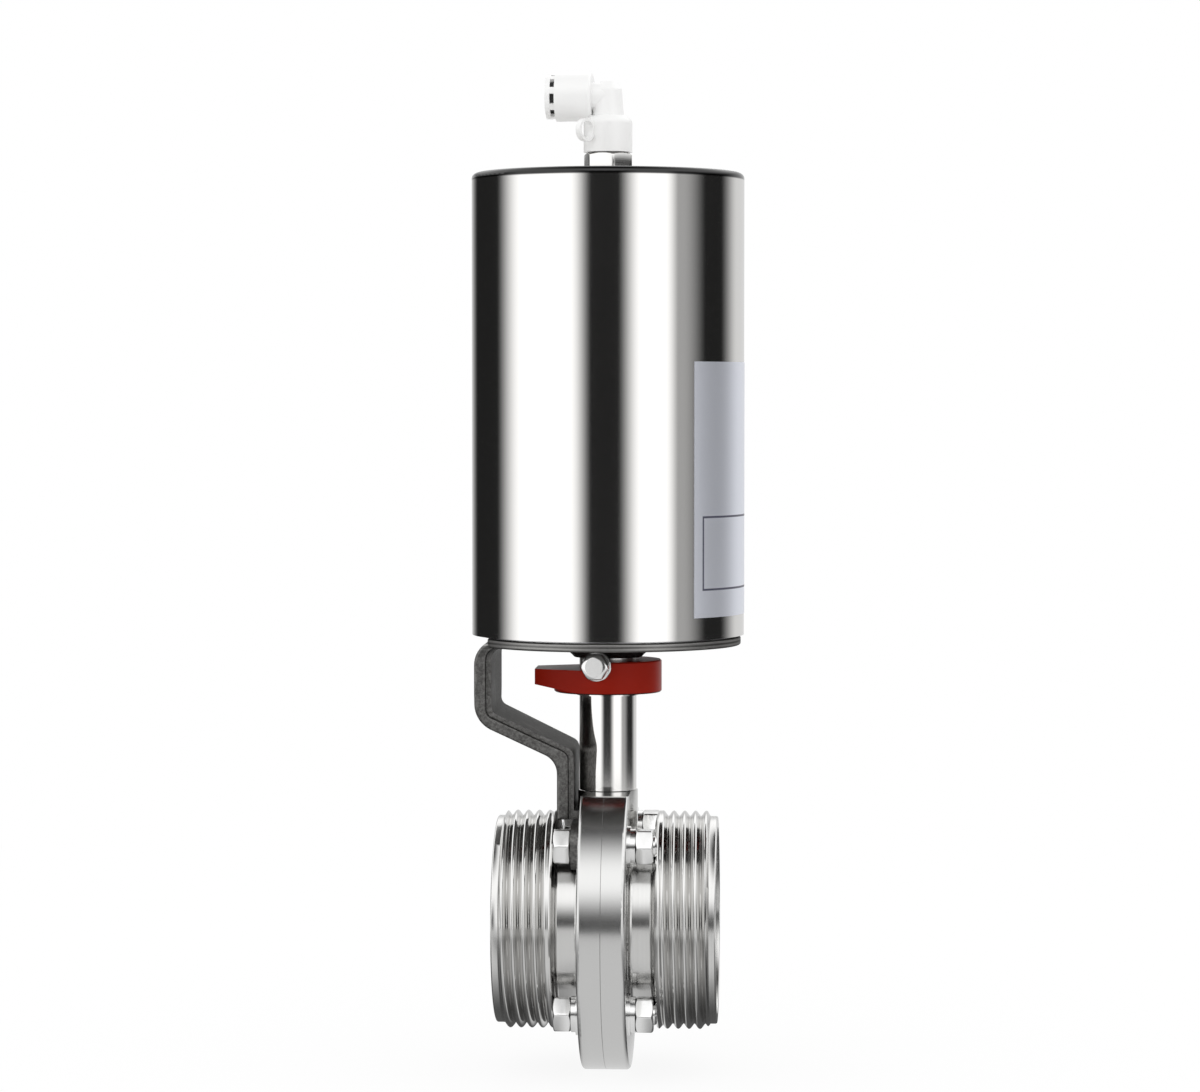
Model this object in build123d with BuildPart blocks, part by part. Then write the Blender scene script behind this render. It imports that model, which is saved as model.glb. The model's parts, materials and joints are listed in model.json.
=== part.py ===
from build123d import *
import os
from math import cos
from math import radians
from math import sin
from math import sqrt
from math import tan

# Hygienic butterfly valve with a vertical spring-return air actuator, closed and without air.
# The origin is where the pipe axis (X) meets the stem axis (Z). All sizes are millimetres.

# Pipe line and male ends
tube_bore_radius = 30.15
face_to_face = 86.0
thread_crest_radius = 42.5
thread_depth = 2.1
thread_start = 20.8
thread_shoulder_width = 1.8
lead_in_length = 2.0
neck_wall = 4.85
gasket_recess_width = 6.2
gasket_recess_depth = 1.6
end_chamfer = 0.8
weld_plane = 14.0

# Body halves
flange_half_thickness = 9.3
bolt_circle_radius = 45.68
rim_margin = 12.7
flat_height = 51.0
flat_rounding = 3.0
rim_rounding = 1.5
neck_rounding = 2.0
seam_gap = 0.04
seam_chamfer = 0.12
bore_step = 0.4
stem_boss_radius = 11.7
seat_height = 7.8
seat_half_width = 4.5
seat_lip = 0.15

# Fasteners of the body
bolt_radius = 4.0
bolt_clearance = 0.25
hexagon_across_flats = 13.0
bolt_head_height = 6.9
nut_height = 6.9
bolt_tip = 1.3
flat_washer_radius = 8.0
flat_washer_thickness = 1.2
spring_washer_radius = 6.9
spring_washer_thickness = 1.8
spring_washer_split = 1.2

# Disc and stem
disc_gap = 0.3
disc_rim_half_thickness = 2.2
disc_middle_half_thickness = 4.2
disc_hub_radius = 8.8
disc_hub_half_length = 24.0
stem_radius = 7.0
stem_square = 10.0
stem_square_length = 14.0
stem_square_corner = 0.8
stem_bush_wall = 1.5
stem_bush_recess = 0.6
stem_end_cover = 7.4
stem_end_gap = 0.6
stem_groove_radius = 5.4
stem_ring_section = 0.75

# Output shaft
shaft_radius = 11.15
shaft_shoulder_radius = 12.3
shaft_shoulder_height = 1.2
shaft_flange_radius = 16.9
shaft_flange_height = 5.6
shaft_spigot_length = 17.0
shaft_foot_gap = 0.2

# Indicator collar
collar_radius = 21.0
collar_height = 12.6
collar_drop = 9.2
collar_rounding = 0.5
wing_reach = 28.0
wing_tip_width = 19.0
wing_top_step = 3.3
wing_tip_depth = 6.0
wing_root_depth = 9.0
screw_azimuth = 261.0
screw_height_step = 1.5
screw_radius = 2.5
screw_head_flats = 10.0
screw_head_height = 4.0
screw_flange_radius = 5.9
screw_flange_height = 0.9
screw_shank_start = 6.0

# Bracket
plate_top = 111.2
plate_thickness = 3.3
plate_inset = 1.2
plate_rounding = 0.8
plate_cut_depth = 6.8
arm_width = 52.0
leg_width = 36.0
arm_taper_start = 22.0
arm_taper_end = 54.0
arm_inset = 2.7
arm_rounding = 1.1
arm_web = 4.6
arm_thickness = 6.6
arm_groove_depth = 1.2
arm_groove_width = 0.9
arm_lip_step = 0.3
arm_shoulder_radius = 10.0
arm_inner_radius = 5.0
arm_drop = 32.3
arm_slope = 25.6
arm_outer_bend = 11.0
arm_inner_bend = 3.5
leg_outer_bend = 8.0
leg_inner_bend = 4.0
leg_bottom_gap = 1.0
foot_thickness = 3.0
foot_rise = 3.6
foot_ear_radius = 9.0
foot_neck_gap = 0.5
hub_top_radius = 24.0
hub_bottom_radius = 13.2
hub_depth = 4.9
hub_shaft_gap = 0.3
plate_screw_circle = 38.0
plate_screw_count = 4
plate_screw_azimuth = 45.0
plate_screw_radius = 3.0
plate_screw_head_radius = 6.0
plate_screw_head_depth = 3.0
plate_screw_reach = 9.0

# Actuator shell and bottom cover
shell_radius = 53.0
shell_wall = 2.0
shell_length = 179.1
shell_gap = 0.7
shell_rounding = 2.2
shell_inner_rounding = 3.0
port_boss_radius = 14.0
port_boss_depth = 4.0
cover_height = 14.8
cover_fit = 0.1
cover_skirt_height = 3.3
retaining_ring_height = 1.8
retaining_ring_reach = 0.7
retaining_ring_width = 2.1
cover_ring_section = 1.3
cover_ring_height = 5.5
shaft_bush_wall = 2.0
shaft_bush_fit = 0.05
wiper_wall = 3.2
wiper_height = 3.0
thrust_washer_height = 1.3
thrust_gap = 0.1

# Cam and guide
stroke = 40.0
quarter_turn = 90.0
cam_tube_inner_radius = 11.5
cam_tube_wall = 5.5
guide_gap = 0.4
guide_tube_wall = 5.6
guide_flange_radius = 32.0
guide_flange_height = 5.0
guide_screw_circle = 27.6
guide_screw_radius = 2.5
guide_screw_head_radius = 4.25
guide_screw_head_height = 5.0
guide_screw_reach = 7.0
cam_slot_width = 12.5
guide_slot_width = 10.6
slot_end_wall = 5.75
roller_radius = 5.0
roller_bore_gap = 0.05
cross_pin_radius = 4.0
pin_end_margin = 0.6
roller_side_gap = 0.2
dowel_radius = 2.5
dowel_height = 8.0

# Piston and spring
piston_height = 15.0
piston_gap = 0.7
piston_seal_gap = 0.3
head_gap = 2.0
tube_top_gap = 2.0
seal_groove_depth = 4.3
seal_groove_height = 4.0
seal_groove_drop = 2.0
wear_groove_depth = 1.3
wear_groove_height = 5.0
wear_groove_lift = 2.0
spring_ring_inner_radius = 27.0
spring_ring_height = 6.0
piston_rod_radius = 11.0
piston_rod_end_radius = 8.0
piston_rod_tail = 8.0
nut_recess_radius = 17.0
nut_recess_depth = 8.0
rod_nut_flats = 24.0
rod_nut_height = 7.4
spring_wire_radius = 4.0
spring_mean_radius = 38.0
spring_end_gap = 0.2
spring_turns = 5.5

# Air fitting
port_radius = 6.55
stud_flats = 17.0
stud_hexagon_height = 7.9
stud_hexagon_turn = 226.0
stud_bore_radius = 2.5
seal_recess_radius = 8.2
seal_recess_depth = 1.5
journal_radius = 5.2
journal_height = 9.0
journal_ring_section = 0.9
journal_ring_height = 4.5
elbow_turn = 4.0
elbow_gap = 0.3
elbow_barrel_radius = 9.45
elbow_barrel_height = 14.2
elbow_barrel_rounding = 3.2
elbow_riser_radius = 6.2
elbow_riser_top_radius = 5.4
elbow_riser_height = 24.3
elbow_riser_cap = 3.1
elbow_riser_cap_radius = 3.0
socket_lift = 21.6
socket_radius = 9.45
socket_start = 6.0
socket_end = 20.1
socket_rounding = 1.3
socket_neck_radius = 5.6
air_way_radius = 3.0
eyelet_radius = 4.4
eyelet_bore_radius = 3.4
eyelet_length = 2.4
eyelet_root = 0.6
eyelet_lift = 8.1
eyelet_azimuth = 231.7

# Push-in parts for a 10 mm tube
tube_hole_radius = 5.1
tube_stop = 8.0
tube_seal_start = 11.0
tube_seal_width = 2.4
tube_seal_outer_radius = 6.9
collet_bore_radius = 6.7
collet_bore_start = 14.0
grip_ring_width = 0.8
release_travel = 1.5
release_sleeve_wall = 1.3
release_flange_radius = 8.6
release_flange_width = 1.9
release_flange_gap = 1.8
release_rib_inner_radius = 7.2
release_rib_outer_radius = 8.5
release_rib_angle = 18.0
release_rib_count = 8
release_rib_azimuth = 14.0
release_groove_gap = 0.25
release_groove_depth = 2.2

# Fits of pieces that do not move on each other
snug = 0.05
running = 0.05
curved_gap = 0.3

# Sizes worked out from those above
half_length = face_to_face / 2
neck_radius = tube_bore_radius + neck_wall
body_bore_radius = tube_bore_radius + bore_step
plate_radius = shell_radius - plate_inset
plate_cut = plate_radius - plate_cut_depth
arm_reach = shell_radius - arm_inset
thread_root_radius = thread_crest_radius - thread_depth
flange_radius = bolt_circle_radius + rim_margin
bolt_offset = bolt_circle_radius / sqrt(2.0)
seam_face = seam_gap / 2
seat_outer_radius = tube_bore_radius + seat_height
seat_inner_radius = tube_bore_radius - seat_lip
disc_radius = seat_inner_radius - disc_gap
washer_stack = flat_washer_thickness + spring_washer_thickness
nut_face = flange_half_thickness + washer_stack
hexagon_corner = hexagon_across_flats / sqrt(3.0)
stem_bush_radius = stem_radius + stem_bush_wall
stem_bush_bottom = seat_outer_radius + curved_gap
stem_bottom = flange_radius - stem_end_cover - stem_end_gap
stem_bore_end = flange_radius - stem_end_cover
stem_bush_top = flat_height - stem_bush_recess
stem_ring_height = (stem_bush_bottom + stem_bush_top) / 2
shaft_bottom = flat_height + shaft_foot_gap
square_top = flat_height + stem_square_length
plate_bottom = plate_top - plate_thickness
hub_bottom = plate_bottom - hub_depth
hub_reach = hub_top_radius - hub_bottom_radius
hub_sweep_radius = (hub_reach**2 + hub_depth**2) / (2 * hub_depth)
collar_top = plate_top - collar_drop
collar_bottom = collar_top - collar_height
collar_bore_radius = shaft_radius + snug
screw_height = collar_top - screw_height_step
cover_top = plate_top + cover_height
cover_bore_radius = shaft_radius + shaft_bush_fit + shaft_bush_wall
shell_inner_radius = shell_radius - shell_wall
shell_bottom = plate_top + shell_gap
shell_top = shell_bottom + shell_length
ceiling = shell_top - shell_wall
port_boss_bottom = ceiling - port_boss_depth
piston_top = port_boss_bottom - head_gap
piston_bottom = piston_top - piston_height
piston_radius = shell_inner_radius - piston_gap
piston_seal_radius = shell_inner_radius - piston_seal_gap
tubes_top = piston_bottom - stroke - tube_top_gap
cross_pin_height = tubes_top - slot_end_wall - cam_slot_width / 2
lowest_pin_height = cross_pin_height - stroke
shaft_flange_bottom = cover_top + thrust_washer_height + thrust_gap
shaft_flange_top = shaft_flange_bottom + shaft_flange_height
cam_tube_radius = cam_tube_inner_radius + cam_tube_wall
guide_tube_inner_radius = cam_tube_radius + guide_gap
guide_tube_radius = guide_tube_inner_radius + guide_tube_wall
rod_bottom = cross_pin_height - piston_rod_tail
cover_radius = shell_inner_radius - cover_fit
ring_seat = plate_top + cover_skirt_height
ring_bottom = ring_seat - retaining_ring_height
ring_outer_radius = shell_inner_radius + retaining_ring_reach
ring_inner_radius = ring_outer_radius - retaining_ring_width
skirt_radius = ring_inner_radius - curved_gap
journal_bottom = shell_top + stud_hexagon_height
journal_top = journal_bottom + journal_height
elbow_bottom = journal_bottom + elbow_gap
socket_height = elbow_bottom + socket_lift
ring_flange_face = socket_end + release_flange_gap
ring_flange_end = ring_flange_face + release_flange_width

# Directions in the elbow, which points to -X turned a few degrees to the back
socket_direction = Vector(-cos(radians(elbow_turn)), sin(radians(elbow_turn)), 0)
bolt_places = [
    (bolt_offset, bolt_offset),
    (-bolt_offset, bolt_offset),
    (-bolt_offset, -bolt_offset),
    (bolt_offset, -bolt_offset),
]


def socket_plane(distance):
    """Plane across the tube socket at a distance from the stem axis, facing outwards."""
    centre = Vector(0, 0, socket_height) + socket_direction * distance
    return Plane(origin=centre, x_dir=(0, 0, 1), z_dir=socket_direction)


def pipe_plane(distance):
    """Plane across the pipe at a distance along X, with local x along Y and local y along Z."""
    return Plane(origin=(distance, 0, 0), x_dir=(0, 1, 0), z_dir=(1, 0, 0))


def add_ring(bottom, top, outer_radius, inner_radius, mode=Mode.ADD):
    """Ring about the stem axis, from one height to another."""
    with BuildSketch(Plane.XY.offset(bottom)) as section:
        Circle(outer_radius)
        Circle(inner_radius, mode=Mode.SUBTRACT)
    extrude(section.sketch, amount=top - bottom, mode=mode)


def add_disc(bottom, top, radius, mode=Mode.ADD):
    """Plain cylinder about the stem axis, from one height to another."""
    with BuildSketch(Plane.XY.offset(bottom)) as section:
        Circle(radius)
    extrude(section.sketch, amount=top - bottom, mode=mode)


def add_socket_ring(start, end, outer_radius, inner_radius, mode=Mode.ADD):
    """Ring about the tube socket's axis, between two distances from the stem axis."""
    with BuildSketch(socket_plane(start)) as section:
        Circle(outer_radius)
        Circle(inner_radius, mode=Mode.SUBTRACT)
    extrude(section.sketch, amount=end - start, mode=mode)


def add_socket_disc(start, end, radius, mode=Mode.ADD):
    """Plain cylinder about the tube socket's axis."""
    with BuildSketch(socket_plane(start)) as section:
        Circle(radius)
    extrude(section.sketch, amount=end - start, mode=mode)


def add_hexagon(plane, across_flats, height, turn=0.0):
    """Hexagonal prism on a plane, standing along the plane's normal."""
    with BuildSketch(plane) as section:
        RegularPolygon(across_flats / 2, 6, major_radius=False, rotation=turn)
    extrude(section.sketch, amount=height)


# Male ends
with BuildPart() as outlet_male_end:
    with BuildSketch(Plane.XZ):
        with BuildLine():
            recess_radius = tube_bore_radius + gasket_recess_width
            crest_start = thread_start - thread_shoulder_width
            crest_end = half_length - lead_in_length
            Polyline(
                (weld_plane, tube_bore_radius),
                (half_length - gasket_recess_depth, tube_bore_radius),
                (half_length - gasket_recess_depth, recess_radius),
                (half_length, recess_radius),
                (half_length, thread_root_radius - end_chamfer),
                (half_length - end_chamfer, thread_root_radius),
                (crest_end, thread_root_radius),
                (crest_end, thread_crest_radius),
                (thread_start, thread_crest_radius),
                (crest_start, neck_radius),
                (weld_plane, neck_radius),
                close=True,
            )
        make_face()
    revolve(axis=Axis.X)
outlet_male_end.part.label = "outlet_male_end"

with BuildPart() as inlet_male_end:
    mirror(outlet_male_end.part, about=Plane.YZ)
inlet_male_end.part.label = "inlet_male_end"

# Body halves: flange, neck up to the weld, stem boss, half of the seat groove and of the stem bores
with BuildPart() as outlet_flange_half:
    with BuildSketch(Plane.XZ):
        with BuildLine():
            FilletPolyline(
                (seam_face, 0),
                (weld_plane, 0),
                (weld_plane, neck_radius),
                (flange_half_thickness, neck_radius),
                (flange_half_thickness, flange_radius),
                (seam_face + seam_chamfer, flange_radius),
                (seam_face, flange_radius - seam_chamfer),
                radius=[0, 0, 0, neck_rounding, rim_rounding, 0, 0],
                close=True,
            )
        make_face()
    revolve(axis=Axis.X)
    with BuildSketch(Plane.YZ):
        Circle(flange_radius)
        with Locations((0, flat_height)):
            Rectangle(
                2 * flange_radius,
                flange_radius,
                align=(Align.CENTER, Align.MIN),
                mode=Mode.SUBTRACT,
            )
        flat_corners = vertices().group_by(Axis.Y)[-1]
        fillet(flat_corners, flat_rounding)
    extrude(amount=weld_plane, mode=Mode.INTERSECT)
    with BuildSketch(Plane.XY.offset(seat_outer_radius - neck_wall)):
        with Locations((seam_face, 0)):
            Rectangle(stem_boss_radius, 2 * stem_boss_radius, align=(Align.MIN, Align.CENTER))
        Circle(stem_boss_radius, mode=Mode.INTERSECT)
    extrude(amount=flat_height - seat_outer_radius + neck_wall)
    with BuildSketch(Plane.YZ):
        Circle(body_bore_radius)
    extrude(amount=weld_plane, mode=Mode.SUBTRACT)
    with BuildSketch(Plane.YZ):
        Circle(seat_outer_radius)
    extrude(amount=seat_half_width, mode=Mode.SUBTRACT)
    with BuildSketch(Plane.YZ):
        with Locations(*bolt_places):
            Circle(bolt_radius + bolt_clearance)
    extrude(amount=flange_half_thickness, mode=Mode.SUBTRACT)
    add_disc(-stem_bore_end, flat_height, stem_bush_radius, mode=Mode.SUBTRACT)
outlet_flange_half.part.label = "outlet_flange_half"

with BuildPart() as inlet_flange_half:
    mirror(outlet_flange_half.part, about=Plane.YZ)
inlet_flange_half.part.label = "inlet_flange_half"

# Seat ring, clamped between the halves, with a collar round each end of the stem
with BuildPart() as seat_seal:
    with BuildSketch(Plane.YZ):
        Circle(seat_outer_radius - snug)
    extrude(amount=seat_half_width - snug, both=True)
    add_disc(-seat_outer_radius, seat_outer_radius, stem_bush_radius - snug)
    with BuildSketch(Plane.YZ):
        Circle(seat_inner_radius)
    extrude(amount=stem_bush_radius, both=True, mode=Mode.SUBTRACT)
    add_disc(-seat_outer_radius, seat_outer_radius, stem_radius + running, mode=Mode.SUBTRACT)
seat_seal.part.label = "seat_seal"

# Bushes of the stem
with BuildPart() as upper_stem_bush:
    add_ring(
        stem_bush_bottom,
        stem_bush_top,
        stem_bush_radius - snug,
        stem_radius + running,
    )
upper_stem_bush.part.label = "upper_stem_bush"

with BuildPart() as lower_stem_bush:
    add_ring(
        -stem_bore_end + curved_gap,
        -stem_bush_bottom,
        stem_bush_radius - snug,
        stem_radius + running,
    )
lower_stem_bush.part.label = "lower_stem_bush"

# Disc with its stem in one piece: lens plate, hub, stem with ring grooves, square top
with BuildPart() as valve_disc:
    with BuildSketch(Plane.XZ):
        with BuildLine():
            rim_corner = disc_radius - disc_rim_half_thickness
            Line((0, 0), (disc_middle_half_thickness, 0))
            Line((disc_middle_half_thickness, 0), (disc_rim_half_thickness, rim_corner))
            RadiusArc(
                (disc_rim_half_thickness, rim_corner),
                (0, disc_radius),
                -disc_rim_half_thickness,
            )
            Line((0, disc_radius), (0, 0))
        make_face()
        mirror(about=Plane.YZ)
    revolve(axis=Axis.X)
    with BuildSketch(Plane.XZ):
        with BuildLine():
            hub_end = sqrt(seat_inner_radius**2 - stem_radius**2) - disc_gap
            Polyline(
                (0, -hub_end),
                (stem_radius, -hub_end),
                (disc_hub_radius, -disc_hub_half_length),
                (disc_hub_radius, disc_hub_half_length),
                (stem_radius, hub_end),
                (0, hub_end),
                close=True,
            )
        make_face()
    revolve(axis=Axis.Z)
    add_disc(-stem_bottom, flat_height, stem_radius)
    for ring_height in (stem_ring_height, -stem_ring_height):
        groove_half = stem_ring_section + snug
        add_ring(
            ring_height - groove_half,
            ring_height + groove_half,
            stem_radius + running,
            stem_groove_radius,
            mode=Mode.SUBTRACT,
        )
    with BuildSketch(Plane.XY.offset(flat_height)):
        RectangleRounded(stem_square, stem_square, stem_square_corner)
    extrude(amount=stem_square_length)
valve_disc.part.label = "valve_disc"

with BuildPart() as stem_o_rings:
    with BuildSketch(Plane.XZ):
        with Locations(
            (stem_radius - stem_ring_section, stem_ring_height),
            (stem_radius - stem_ring_section, -stem_ring_height),
        ):
            Circle(stem_ring_section)
    revolve(axis=Axis.Z)
stem_o_rings.part.label = "stem_o_rings"

# Bolts, heads on the inlet side
with BuildPart() as flange_bolts:
    for across, up in bolt_places:
        head_plane = Plane(
            origin=(-nut_face, across, up),
            x_dir=(0, 1, 0),
            z_dir=(-1, 0, 0),
        )
        add_hexagon(head_plane, hexagon_across_flats, bolt_head_height)
        with BuildSketch(head_plane) as bolt_section:
            Circle(bolt_radius)
        extrude(bolt_section.sketch, amount=-(2 * nut_face + nut_height + bolt_tip))
flange_bolts.part.label = "flange_bolts"

with BuildPart() as flange_nuts:
    for across, up in bolt_places:
        nut_plane = Plane(origin=(nut_face, across, up), x_dir=(0, 1, 0), z_dir=(1, 0, 0))
        add_hexagon(nut_plane, hexagon_across_flats, nut_height)
    with BuildSketch(pipe_plane(nut_face)):
        with Locations(*bolt_places):
            Circle(bolt_radius + snug)
    extrude(amount=nut_height, mode=Mode.SUBTRACT)
flange_nuts.part.label = "flange_nuts"

lower_places = bolt_places[2:]
with BuildPart() as flat_washers:
    with BuildSketch(pipe_plane(flange_half_thickness)):
        with Locations(*bolt_places):
            Circle(flat_washer_radius)
        with Locations(*bolt_places):
            Circle(bolt_radius + bolt_clearance, mode=Mode.SUBTRACT)
    extrude(amount=flat_washer_thickness)
    with BuildSketch(pipe_plane(-flange_half_thickness)):
        with Locations(*lower_places):
            Circle(flat_washer_radius)
        with Locations(*lower_places):
            Circle(bolt_radius + bolt_clearance, mode=Mode.SUBTRACT)
    extrude(amount=-flat_washer_thickness)
flat_washers.part.label = "flat_washers"

with BuildPart() as spring_washers:
    split_place = (bolt_radius + spring_washer_radius) / 2
    spring_washer_face = flange_half_thickness + flat_washer_thickness
    with BuildSketch(pipe_plane(spring_washer_face)):
        with Locations(*bolt_places):
            Circle(spring_washer_radius)
        with Locations(*bolt_places):
            Circle(bolt_radius + bolt_clearance, mode=Mode.SUBTRACT)
        with Locations(*[(across + split_place, up) for across, up in bolt_places]):
            Rectangle(spring_washer_radius, spring_washer_split, mode=Mode.SUBTRACT)
    extrude(amount=spring_washer_thickness)
    with BuildSketch(pipe_plane(-spring_washer_face)):
        with Locations(*lower_places):
            Circle(spring_washer_radius)
        with Locations(*lower_places):
            Circle(bolt_radius + bolt_clearance, mode=Mode.SUBTRACT)
        with Locations(*[(across + split_place, up) for across, up in lower_places]):
            Rectangle(spring_washer_radius, spring_washer_split, mode=Mode.SUBTRACT)
    extrude(amount=-spring_washer_thickness)
spring_washers.part.label = "spring_washers"


# Bracket: round plate with a hub, bent arm with a raised middle, foot on the upper two bolts
def add_arm(thickness, inset, mode=Mode.ADD):
    """Bent arm of one thickness from the plate down to the foot, its sides moved in by an inset."""
    slope = radians(arm_slope)
    leg_outer = -(flange_half_thickness + foot_thickness + arm_thickness)
    bend_height = plate_top - arm_drop
    leg_height = bend_height - (arm_reach + leg_outer) * tan(slope)
    leg_bottom = bolt_offset + hexagon_corner + leg_bottom_gap
    inner_rise = thickness / cos(slope) - thickness * tan(slope)
    with BuildSketch(Plane.XZ) as profile:
        with BuildLine():
            FilletPolyline(
                (-plate_cut / 2, plate_top),
                (-arm_reach, plate_top),
                (-arm_reach, bend_height),
                (leg_outer, leg_height),
                (leg_outer, leg_bottom),
                (leg_outer + thickness, leg_bottom),
                (leg_outer + thickness, leg_height + inner_rise),
                (-arm_reach + thickness, bend_height + inner_rise),
                (-arm_reach + thickness, plate_bottom),
                (-plate_cut / 2, plate_bottom),
                radius=[
                    0,
                    arm_shoulder_radius,
                    arm_outer_bend,
                    leg_outer_bend,
                    0,
                    0,
                    leg_inner_bend,
                    arm_inner_bend,
                    arm_inner_radius,
                    0,
                ],
                close=True,
            )
        make_face()
    extrude(profile.sketch, amount=arm_width / 2 - inset, both=True, mode=mode)


def taper_arm(inset):
    """Narrows what is there from the arm's full width to the leg's."""
    half_width = arm_width / 2 - inset
    half_leg = leg_width / 2 - inset
    with BuildSketch(Plane.YZ) as outline:
        with BuildLine():
            Polyline(
                (-half_width, plate_top),
                (-half_width, plate_top - arm_taper_start),
                (-half_leg, plate_top - arm_taper_end),
                (-half_leg, 0),
                (half_leg, 0),
                (half_leg, plate_top - arm_taper_end),
                (half_width, plate_top - arm_taper_start),
                (half_width, plate_top),
                close=True,
            )
        make_face()
    extrude(outline.sketch, amount=-shell_radius, mode=Mode.INTERSECT)


with BuildPart() as arm_web_blank:
    add_arm(arm_web, 0)
    taper_arm(0)
    long_edges = edges().filter_by(lambda edge: abs(edge.center().Y) > leg_width / 2 - snug)
    fillet(long_edges, arm_rounding)

with BuildPart() as arm_core_blank:
    add_arm(arm_thickness, arm_groove_depth)
    taper_arm(arm_groove_depth)

with BuildPart() as arm_lip_blank:
    add_arm(arm_thickness, arm_lip_step)
    add_arm(arm_web + arm_groove_width, 0, mode=Mode.SUBTRACT)
    taper_arm(arm_lip_step)

with BuildPart() as plate_blank:
    with BuildSketch(Plane.XZ):
        with BuildLine():
            FilletPolyline(
                (0, plate_bottom),
                (plate_radius, plate_bottom),
                (plate_radius, plate_top),
                (0, plate_top),
                radius=[0, plate_rounding, plate_rounding, 0],
                close=True,
            )
        make_face()
    revolve(axis=Axis.Z)
    with BuildSketch(Plane.XY.offset(plate_bottom)):
        with Locations((-plate_cut, 0)):
            Rectangle(plate_radius, 2 * plate_radius, align=(Align.MAX, Align.CENTER))
    extrude(amount=plate_thickness, mode=Mode.SUBTRACT)

with BuildPart() as bracket:
    add(arm_web_blank.part)
    add(arm_core_blank.part)
    add(arm_lip_blank.part)
    add(plate_blank.part)
    with BuildSketch(Plane.XZ):
        with BuildLine():
            Line((0, plate_bottom), (hub_top_radius, plate_bottom))
            RadiusArc(
                (hub_top_radius, plate_bottom),
                (hub_bottom_radius, hub_bottom),
                -hub_sweep_radius,
            )
            Line((hub_bottom_radius, hub_bottom), (0, hub_bottom))
            Line((0, hub_bottom), (0, plate_bottom))
        make_face()
    revolve(axis=Axis.Z)
    with BuildSketch(pipe_plane(-flange_half_thickness)):
        with Locations((0, bolt_offset)):
            Rectangle(2 * bolt_offset, 2 * foot_ear_radius)
        with Locations((bolt_offset, bolt_offset), (-bolt_offset, bolt_offset)):
            Circle(foot_ear_radius)
        with Locations((0, bolt_offset)):
            Rectangle(
                leg_width,
                hexagon_corner + leg_bottom_gap + foot_rise,
                align=(Align.CENTER, Align.MIN),
            )
        with Locations((bolt_offset, bolt_offset), (-bolt_offset, bolt_offset)):
            Circle(bolt_radius + bolt_clearance, mode=Mode.SUBTRACT)
        Circle(neck_radius + neck_rounding + foot_neck_gap, mode=Mode.SUBTRACT)
    extrude(amount=-foot_thickness)
    add_disc(hub_bottom, plate_top, shaft_radius + hub_shaft_gap, mode=Mode.SUBTRACT)
    add_disc(0, flat_height, stem_boss_radius + curved_gap, mode=Mode.SUBTRACT)
    with Locations(Plane.XY.offset(plate_bottom)):
        with PolarLocations(plate_screw_circle, plate_screw_count, start_angle=plate_screw_azimuth):
            Cone(
                plate_screw_head_radius + snug,
                plate_screw_radius + snug,
                plate_screw_head_depth,
                align=(Align.CENTER, Align.CENTER, Align.MIN),
                mode=Mode.SUBTRACT,
            )
            Cylinder(
                plate_screw_radius + snug,
                plate_thickness,
                align=(Align.CENTER, Align.CENTER, Align.MIN),
                mode=Mode.SUBTRACT,
            )
bracket.part.label = "bracket"

with BuildPart() as bracket_screws:
    with Locations(Plane.XY.offset(plate_bottom)):
        with PolarLocations(plate_screw_circle, plate_screw_count, start_angle=plate_screw_azimuth):
            Cone(
                plate_screw_head_radius,
                plate_screw_radius,
                plate_screw_head_depth,
                align=(Align.CENTER, Align.CENTER, Align.MIN),
            )
            Cylinder(
                plate_screw_radius,
                plate_thickness + plate_screw_reach,
                align=(Align.CENTER, Align.CENTER, Align.MIN),
            )
bracket_screws.part.label = "bracket_screws"

# Output shaft: column, shoulder under the collar, flange and spigot for the cam tube, square socket
screw_direction = Vector(cos(radians(screw_azimuth)), sin(radians(screw_azimuth)), 0)


def screw_plane(distance):
    """Plane across the collar's screw at a distance from the stem axis, facing outwards."""
    centre = Vector(0, 0, screw_height) + screw_direction * distance
    return Plane(origin=centre, x_dir=(0, 0, 1), z_dir=screw_direction)


with BuildPart() as output_shaft:
    spigot_top = shaft_flange_top + shaft_spigot_length
    add_disc(shaft_bottom, shaft_flange_bottom, shaft_radius)
    add_disc(collar_bottom - shaft_shoulder_height, collar_bottom, shaft_shoulder_radius)
    add_disc(shaft_flange_bottom, shaft_flange_top, shaft_flange_radius)
    add_disc(shaft_flange_top, spigot_top, cam_tube_inner_radius - snug)
    with BuildSketch(Plane.XY.offset(shaft_bottom)):
        Rectangle(stem_square + 2 * snug, stem_square + 2 * snug)
    extrude(amount=square_top - shaft_bottom + curved_gap, mode=Mode.SUBTRACT)
    with BuildSketch(screw_plane(screw_shank_start - curved_gap)):
        Circle(screw_radius + snug)
    extrude(amount=shaft_radius, mode=Mode.SUBTRACT)
    with BuildSketch(Plane.XZ.offset(-cam_tube_radius)):
        with Locations((0, shaft_flange_top + dowel_height)):
            Circle(dowel_radius + snug)
    extrude(amount=2 * cam_tube_radius, mode=Mode.SUBTRACT)
output_shaft.part.label = "output_shaft"

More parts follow.
